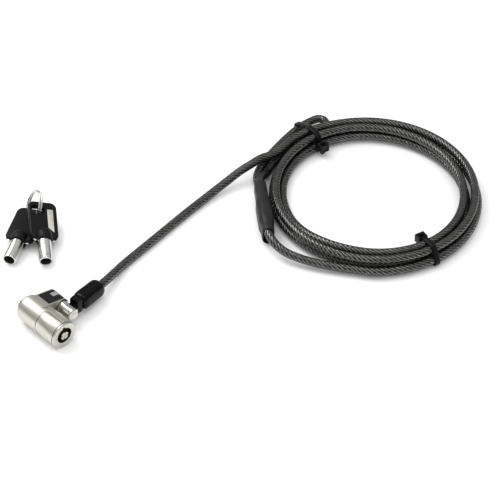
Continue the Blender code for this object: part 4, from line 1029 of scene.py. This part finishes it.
# position along (0 to 1), thickness over SHRINK_R: outside, then back along the bore
SHRINK_STATIONS = (
    (-0.012, 0.12), (-0.008, 0.40), (0.0, 0.55), (0.03, 0.62), (0.06, 0.58), (0.10, 0.66),
    (0.135, 0.72), (0.165, 1.02), (0.195, 1.30), (0.23, 1.42), (0.30, 1.46), (0.42, 1.47),
    (0.54, 1.46), (0.60, 1.40), (0.645, 1.20), (0.685, 0.90), (0.73, 0.72), (0.80, 0.66),
    (0.90, 0.62), (0.985, 0.58), (0.997, 0.42), (1.0, 0.14),
    (1.0, 0.0), (0.68, 0.0), (0.635, 0.8), (0.185, 0.8), (0.15, 0.0), (-0.012, 0.0))


def stadium(r):
    return arc(HALF_PITCH, 0, r, -90, 90, 23) + arc(-HALF_PITCH, 0, r, 90, 270, 23)


rows = [[tuple(in_shrink(s, up, -side)) for up, side in stadium(SHRINK_R + thickness)]
        for s, thickness in SHRINK_STATIONS]
piece("shrink_tube", loft(rows, closed=True), "matte_shrink_tube", "cable_assembly",
      "shrink_sleeve", sharp=60)

# ---- Cable ties: strap drawn round all strands at a coil angle, head and tail inside ----
TIE_T, TIE_W = 0.95, 2.6


def strands_at(angle):
    """(coil radius, z) of every cable crossing a coil angle."""
    out = []
    d = cable[:, :2] - np.array(COIL_CENTRE)
    off = (np.degrees(np.arctan2(d[:, 1], d[:, 0])) - angle + 180) % 360 - 180
    radius = np.hypot(d[:, 0], d[:, 1])
    for k in range(len(cable) - 1):
        if off[k] * off[k + 1] < 0 and abs(off[k] - off[k + 1]) < 90:
            t = off[k] / (off[k] - off[k + 1])
            r = radius[k] + (radius[k + 1] - radius[k]) * t
            if 40 < r < 75:
                out.append((float(r), float(cable[k, 2] + (cable[k + 1, 2] - cable[k, 2]) * t)))
    return out


def tie_strap(strands, clear):
    """Strap round the hull of the strands, with ratchet ribs along its outside."""
    hull = []
    for w in turns(120):
        nx, nz = cos(w), sin(w)
        outermost = max(strands, key=lambda q: q[0] * nx + q[1] * nz)
        hull.append((outermost[0] + clear * nx, outermost[1] + clear * nz))
    # even spacing round the loop, so that the ratchet ribs are regular
    hull = np.array(hull + [hull[0]])
    lengths = np.r_[0, np.cumsum(np.hypot(*np.diff(hull, axis=0).T))]
    s = np.linspace(0, lengths[-1], int(lengths[-1] / 0.3), endpoint=False)
    loop = np.stack([np.interp(s, lengths, hull[:, i]) for i in range(2)], 1)
    tangents = np.roll(loop, -1, 0) - np.roll(loop, 1, 0)
    tangents /= np.linalg.norm(tangents, axis=1)[:, None]
    normals = np.stack([tangents[:, 1], -tangents[:, 0]], 1)
    edge_y = -TIE_W / 2
    rows = []
    for k, (p, normal) in enumerate(zip(loop, normals)):
        rib = 0.10 if k % 3 == 0 else 0.0
        # height over the strands, y: one half of the section, mirrored for the other
        half = [(0.0, edge_y + 0.12), (0.12, edge_y), (TIE_T - 0.22, edge_y),
                (TIE_T - 0.05, edge_y + 0.2), (TIE_T, edge_y + 0.55),
                (TIE_T - 0.16 + rib, edge_y + 0.62)]
        section = half + [(t, -y) for t, y in reversed(half)]
        rows.append([(p[0] + normal[0] * t, y, p[1] + normal[1] * t) for t, y in section])
    return loft(rows, closed=True)


def tie_head(x, z):
    """Head block; x is the strands' inner side, z the head's middle height."""
    block = box(x - 4.6, x - 0.30, -2.6, 2.6, z - 2.2, z + 2.3)
    return bevelled(solid(block, cut=[box(x - 3.6, x - 1.5, -1.5, 1.5, z + 1.6, z + 3),
                                      box(x - 5.5, x - 4.2, -1.6, 1.6, z - 1.4, z + 1.5)]),
                    0.42, 4, 40)


def tie_tail(x, z):
    """Ribbed upright stub that passes through the head."""
    rows = []
    for k in range(14):
        rib = 0.06 if k % 2 else 0.0
        x0, x1 = x - 2.9 + rib, x - 1.7 - rib
        outline = rounded([(x0, -1.1), (x1, -1.1), (x1, 1.1), (x0, 1.1)], 0.25, 3)
        rows.append([(px, py, z - 4.4 + 8.0 * k / 13) for px, py in outline])
    return loft(rows)


def tie(name, angle, lift, replaces):
    """lift raises the head above the innermost strand."""
    strands = strands_at(angle)
    clear = CABLE_R + 0.18
    x, z = min(q[0] for q in strands) - clear, min(strands)[1] + lift
    c, s = cos(rad(angle)), sin(rad(angle))

    def place(p):
        return (COIL_CENTRE[0] + p[0] * c - p[1] * s, COIL_CENTRE[1] + p[0] * s + p[1] * c, p[2])

    for part, shape, old in (("_strap", tie_strap(strands, clear), replaces),
                             ("_head", tie_head(x, z), ""), ("_tail", tie_tail(x, z), "")):
        piece(name + part, shape, "black_nylon_tie", "cable_assembly", old,
              place, sharp=40)


tie("tie_loop", 79.0, 2.2, "tie_eye_end")
tie("tie_ring", 257.5, 0.0, "tie_coil")

# ---- Keys: tube along -Y, bow along +Y, flat faces at +Z and -Z ----
KEY_TUBE_R, KEY_TUBE_IN, KEY_TUBE_L = 3.5, 2.75, 13.4
BOW_W, BOW_L, BOW_T = 15.0, 23.6, 3.2
BOW_CORNER, BOW_EDGE = 3.4, 1.05     # corner radius, rounding of the long edges
KEY_SLOT_R = 2.65
FOIL_X0, FOIL_X1, FOIL_Y0, FOIL_Y1 = 2.0, 5.5, 6.9, 18.9
COLLAR = ((0, -0.9), (4.1, -0.9), (4.38, -0.78), (4.5, -0.5), (4.5, 2.6), (4.42, 3.4),
          (4.2, 4.2), (3.8, 4.95), (3.3, 5.6), (2.5, 6.15), (1.6, 6.5), (0.8, 6.65),
          (0, 6.7))                  # radius, y
# angle, depth of the notches in the tube's tip
TIP_NOTCHES = ((20, 0.45), (66, 0.3), (112, 0.5), (160, 0.35), (215, 0.45), (262, 0.3),
               (318, 0.4))


def bow_outline(inset):
    r = BOW_CORNER - inset * 0.6
    x, y0, y1 = BOW_W / 2 - inset - r, inset + r, BOW_L - inset - r
    points = []
    for cx, cy, a0 in ((x, y1, 0), (-x, y1, 90), (-x, y0, 180), (x, y0, 270)):
        points += arc(cx, cy, r, a0, a0 + 90, 12)
    return points


def key_bow():
    half = [(-BOW_T / 2 + BOW_EDGE * (1 - cos(rad(a))), BOW_EDGE * (1 - sin(rad(a))))
            for a in range(0, 91, 15)]
    levels = half + [(-z, inset) for z, inset in reversed(half)]
    plate = loft([[(x, y, z) for x, y in bow_outline(inset)] for z, inset in levels])
    slot_y = BOW_L - 5.6
    slot = arc(4.1, slot_y, KEY_SLOT_R, -90, 90, 18) + arc(1.3, slot_y, KEY_SLOT_R, 90, 270, 18)
    pocket = rounded([(FOIL_X0, FOIL_Y0), (FOIL_X1, FOIL_Y0 - 3.0), (FOIL_X1, FOIL_Y1),
                      (FOIL_X0, FOIL_Y1)], 0.35, 4)
    bow = solid(plate, add=[lathe(COLLAR, 64)],
                cut=[box(-6.1, 6.1, -2, 3.2, -0.75, 0.75), y_rod(-3, 3.6, KEY_TUBE_R + GAP, 64),
                     slab([(-x, y) for x, y in slot], -6, 6), slab(pocket, BOW_T / 2 - 0.45, 6)])
    return bevelled(bow, 0.16, angle=48)


def key_tube():
    tip = -KEY_TUBE_L
    wall = lathe([(KEY_TUBE_IN, tip + 0.12), (KEY_TUBE_IN + 0.1, tip), (KEY_TUBE_R - 0.22, tip),
                  (KEY_TUBE_R - 0.08, tip + 0.06), (KEY_TUBE_R, tip + 0.25), (KEY_TUBE_R, 3.3),
                  (KEY_TUBE_IN, 3.3)], 84)
    notches = [y_rod(tip - 1, tip + depth, 0.34, 20, *on_circle(3.55, a))
               for a, depth in TIP_NOTCHES]
    return solid(wall, cut=notches + [box(-0.55, 0.55, tip + 1.6, tip + 2.6, 3.12, 4.2)])


def key_tang(side):
    """Plate beside the tube; side is 1 for +X, -1 for -X."""
    x0, x1 = KEY_TUBE_R + GAP + 0.05, 5.75
    points = [(x0, -0.55, 0.05), (x1 - 0.1, -0.42, 0.5), (x1, 2.8, 0.05), (x0, 2.8, 0.05)]
    outline = rounded([(side * x, y, r) for x, y, r in points], 0.1, 4)
    return bevelled(slab(outline, -0.42, 0.42), 0.1, 2, 40)


def key_label():
    outline = rounded([(FOIL_X0 + 0.22, FOIL_Y0 + 0.18), (FOIL_X1 - 0.22, FOIL_Y0 - 2.6),
                       (FOIL_X1 - 0.22, FOIL_Y1 - 0.22), (FOIL_X0 + 0.22, FOIL_Y1 - 0.22)],
                      0.3, 4)
    return bevelled(slab(outline, BOW_T / 2 - 0.2, BOW_T / 2 + 0.05), 0.07, 2, 40)


def key_frame(tip, yaw, pitch, roll):
    """Frame with the tube's tip at the given point; yaw 0 points the bow along +X."""
    cy, sy = cos(rad(yaw)), sin(rad(yaw))
    cp, sp = cos(rad(pitch)), sin(rad(pitch))
    cr, sr = cos(rad(roll)), sin(rad(roll))
    axis = np.array([cy * cp, sy * cp, sp])
    level = np.array([sy, -cy, 0.0])
    upright = np.cross(level, axis)
    across, up = level * cr - upright * sr, level * sr + upright * cr

    def place(p):
        return tuple(np.asarray(tip) + across * p[0] + axis * (p[1] + KEY_TUBE_L) + up * p[2])
    return place


# faces inside the key tube, which are painted black as shade
def tube_bore(c):
    return hypot(c[0], c[2]) < KEY_TUBE_IN + 0.02 and c[1] > -KEY_TUBE_L + 0.3


bow_shape, tube_shape = key_bow(), key_tube()
for name, place in (
        ("key_a", key_frame((29.3, 22.41, 3.43), yaw=53.6, pitch=12.2, roll=18.0)),
        ("key_b", key_frame((16.35, 35.66, 3.9), yaw=32.0, pitch=3.1, roll=180.0))):
    piece(name + "_barrel", tube_shape, "turned_steel", name, name + "_tube", place,
          sharp=40, bore=tube_bore)
    piece(name + "_grip", bow_shape, "black_key_bow", name, name + "_bow",
          place, sharp=40)
    for side_name, side in (("right", 1), ("left", -1)):
        piece(name + "_tang_" + side_name, key_tang(side), "turned_steel", name,
              name + "_plate_" + side_name, place, sharp=40)
    piece(name + "_foil", key_label(), "key_label_foil", name,
          name + "_label", place, sharp=40)

# ---- Split ring: nearly two turns of wire lying on each other ----
RING_R, RING_WIRE, RING_CENTRE = 7.5, 0.55, (48.65, 54.85, 9.17)
RING_AZ, RING_EL = -26.37, -26.72    # direction of the ring's axis
RING_N = 84                          # stations per turn
RING_LAST = 2 * RING_N - 4
ring_axis = np.array([cos(rad(RING_EL)) * cos(rad(RING_AZ)),
                      cos(rad(RING_EL)) * sin(rad(RING_AZ)), sin(rad(RING_EL))])
ring_u = unit(np.cross([0, 0, 1.0], ring_axis))
ring_v = np.cross(ring_axis, ring_u)
rows = []
for i in range(RING_LAST + 1):
    a = 2 * pi * i / RING_N + rad(60)
    # the wire steps across from one turn to the other over a short arc
    lift = (ease((i / RING_N - 0.90) / 0.2) * 2 - 1) * (RING_WIRE + 0.04)
    radial = cos(a) * ring_u + sin(a) * ring_v
    centre = np.array(RING_CENTRE) + RING_R * radial + lift * ring_axis
    wire_r = RING_WIRE * (0.82 if i in (0, RING_LAST) else 1.0)
    rows.append([tuple(centre + wire_r * (cos(w) * radial + sin(w) * ring_axis))
                 for w in turns(14)])
piece("ring_coils", loft(rows), "turned_steel", "ring", "split_ring", sharp=50)

# ---- Inner parts kept from the CAD get finished materials ----
INNER = {"core_shell": "machined_brass", "driver_block": "machined_brass",
         "lock_plug": "machined_brass", "crimp_ferrule": "pressed_aluminium"}
for k in range(1, 8):
    INNER["key_pin_%d" % k] = "machined_brass"
    INNER["driver_pin_%d" % k] = "plain_steel"
    INNER["pin_spring_%d" % k] = "plain_steel"
for node, material in INNER.items():
    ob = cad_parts[node]
    ob.data.materials.clear()
    ob.data.materials.append(MATERIALS[material])
    weld = ob.modifiers.new("weld", "WELD")
    weld.merge_threshold = 0.000002
    ob.modifiers.new("shade", "WEIGHTED_NORMAL")

# ---- Stage, from here on in metres: pale floor, soft light, camera ----
g = new_material("studio_floor")
g.principled(Base_Color=g.mix(g.noise(scale=40, detail=3, rough=0.5),
                              (0.90, 0.90, 0.90), (0.905, 0.905, 0.905)),
             Roughness=0.85, Specular_IOR_Level=0.15)
bpy.ops.mesh.primitive_plane_add(size=8.0, location=(0, 0, -0.00005))
floor = bpy.context.object
floor.name = "floor"
floor.data.materials.append(MATERIALS["studio_floor"])

# world: reflections see a vertical gradient, everything else an even white
SKY = [(0.0, 0.36), (0.16, 0.30), (0.34, 0.44), (0.62, 0.70), (1.0, 0.80)]   # height, grey
world = bpy.data.worlds.new("studio")
bpy.context.scene.world = world
g = Nodes(world, "OutputWorld")
sky = g.add("ValToRGB", {"Fac": g.split("Generated")["Z"]})
grey_ramp(sky, SKY, blue=0.985)
reflected = g.add("Background", {"Color": sky.outputs[0], "Strength": 0.9}).outputs[0]
fill = g.add("Background", {"Color": (1, 1, 1), "Strength": 1.06}).outputs[0]
g.surface(g.mix_shader(g.add("LightPath").outputs["Is Glossy Ray"], fill, reflected))

VIEW_AZ, VIEW_EL, VIEW_DISTANCE = -43.63, 42.0, 1.0
target = Vector(to_row((112.1, -39.3, 0.0)))
forward = Vector((-sin(rad(VIEW_AZ)), cos(rad(VIEW_AZ)), 0))
right = Vector((forward.y, -forward.x, 0))


def add_aimed(name, data, offset):
    """Object placed at an offset from the target and turned to look at it."""
    ob = bpy.data.objects.new(name, data)
    ob.location = target + offset
    ob.rotation_euler = (target - ob.location).to_track_quat("-Z", "Y").to_euler()
    bpy.context.scene.collection.objects.link(ob)
    return ob


def area_light(name, offset, width, height, energy):
    light = bpy.data.lights.new(name, "AREA")
    light.shape = "RECTANGLE"
    light.size = width
    light.size_y = height
    light.energy = energy
    add_aimed(name, light, offset)


area_light("key_box", -right * 0.55 + forward * 0.35 + Vector((0, 0, 0.75)),
           width=0.55, height=0.55, energy=4.4)
area_light("top_box", -right * 0.05 - forward * 0.10 + Vector((0, 0, 1.0)),
           width=0.8, height=0.6, energy=2.0)

camera = bpy.data.cameras.new("camera")
camera.sensor_fit = "HORIZONTAL"
camera.sensor_width = 36.0
camera.lens = 141.67
camera.clip_start = 0.01
back = -forward * cos(rad(VIEW_EL)) + Vector((0, 0, sin(rad(VIEW_EL))))
scene = bpy.context.scene
scene.camera = add_aimed("camera", camera, back * VIEW_DISTANCE)
scene.view_settings.view_transform = "Standard"
scene.view_settings.look = "None"
scene.view_settings.exposure = 0.0
scene.view_settings.gamma = 1.0
scene.cycles.transparent_max_bounces = 24
scene.cycles.max_bounces = 10
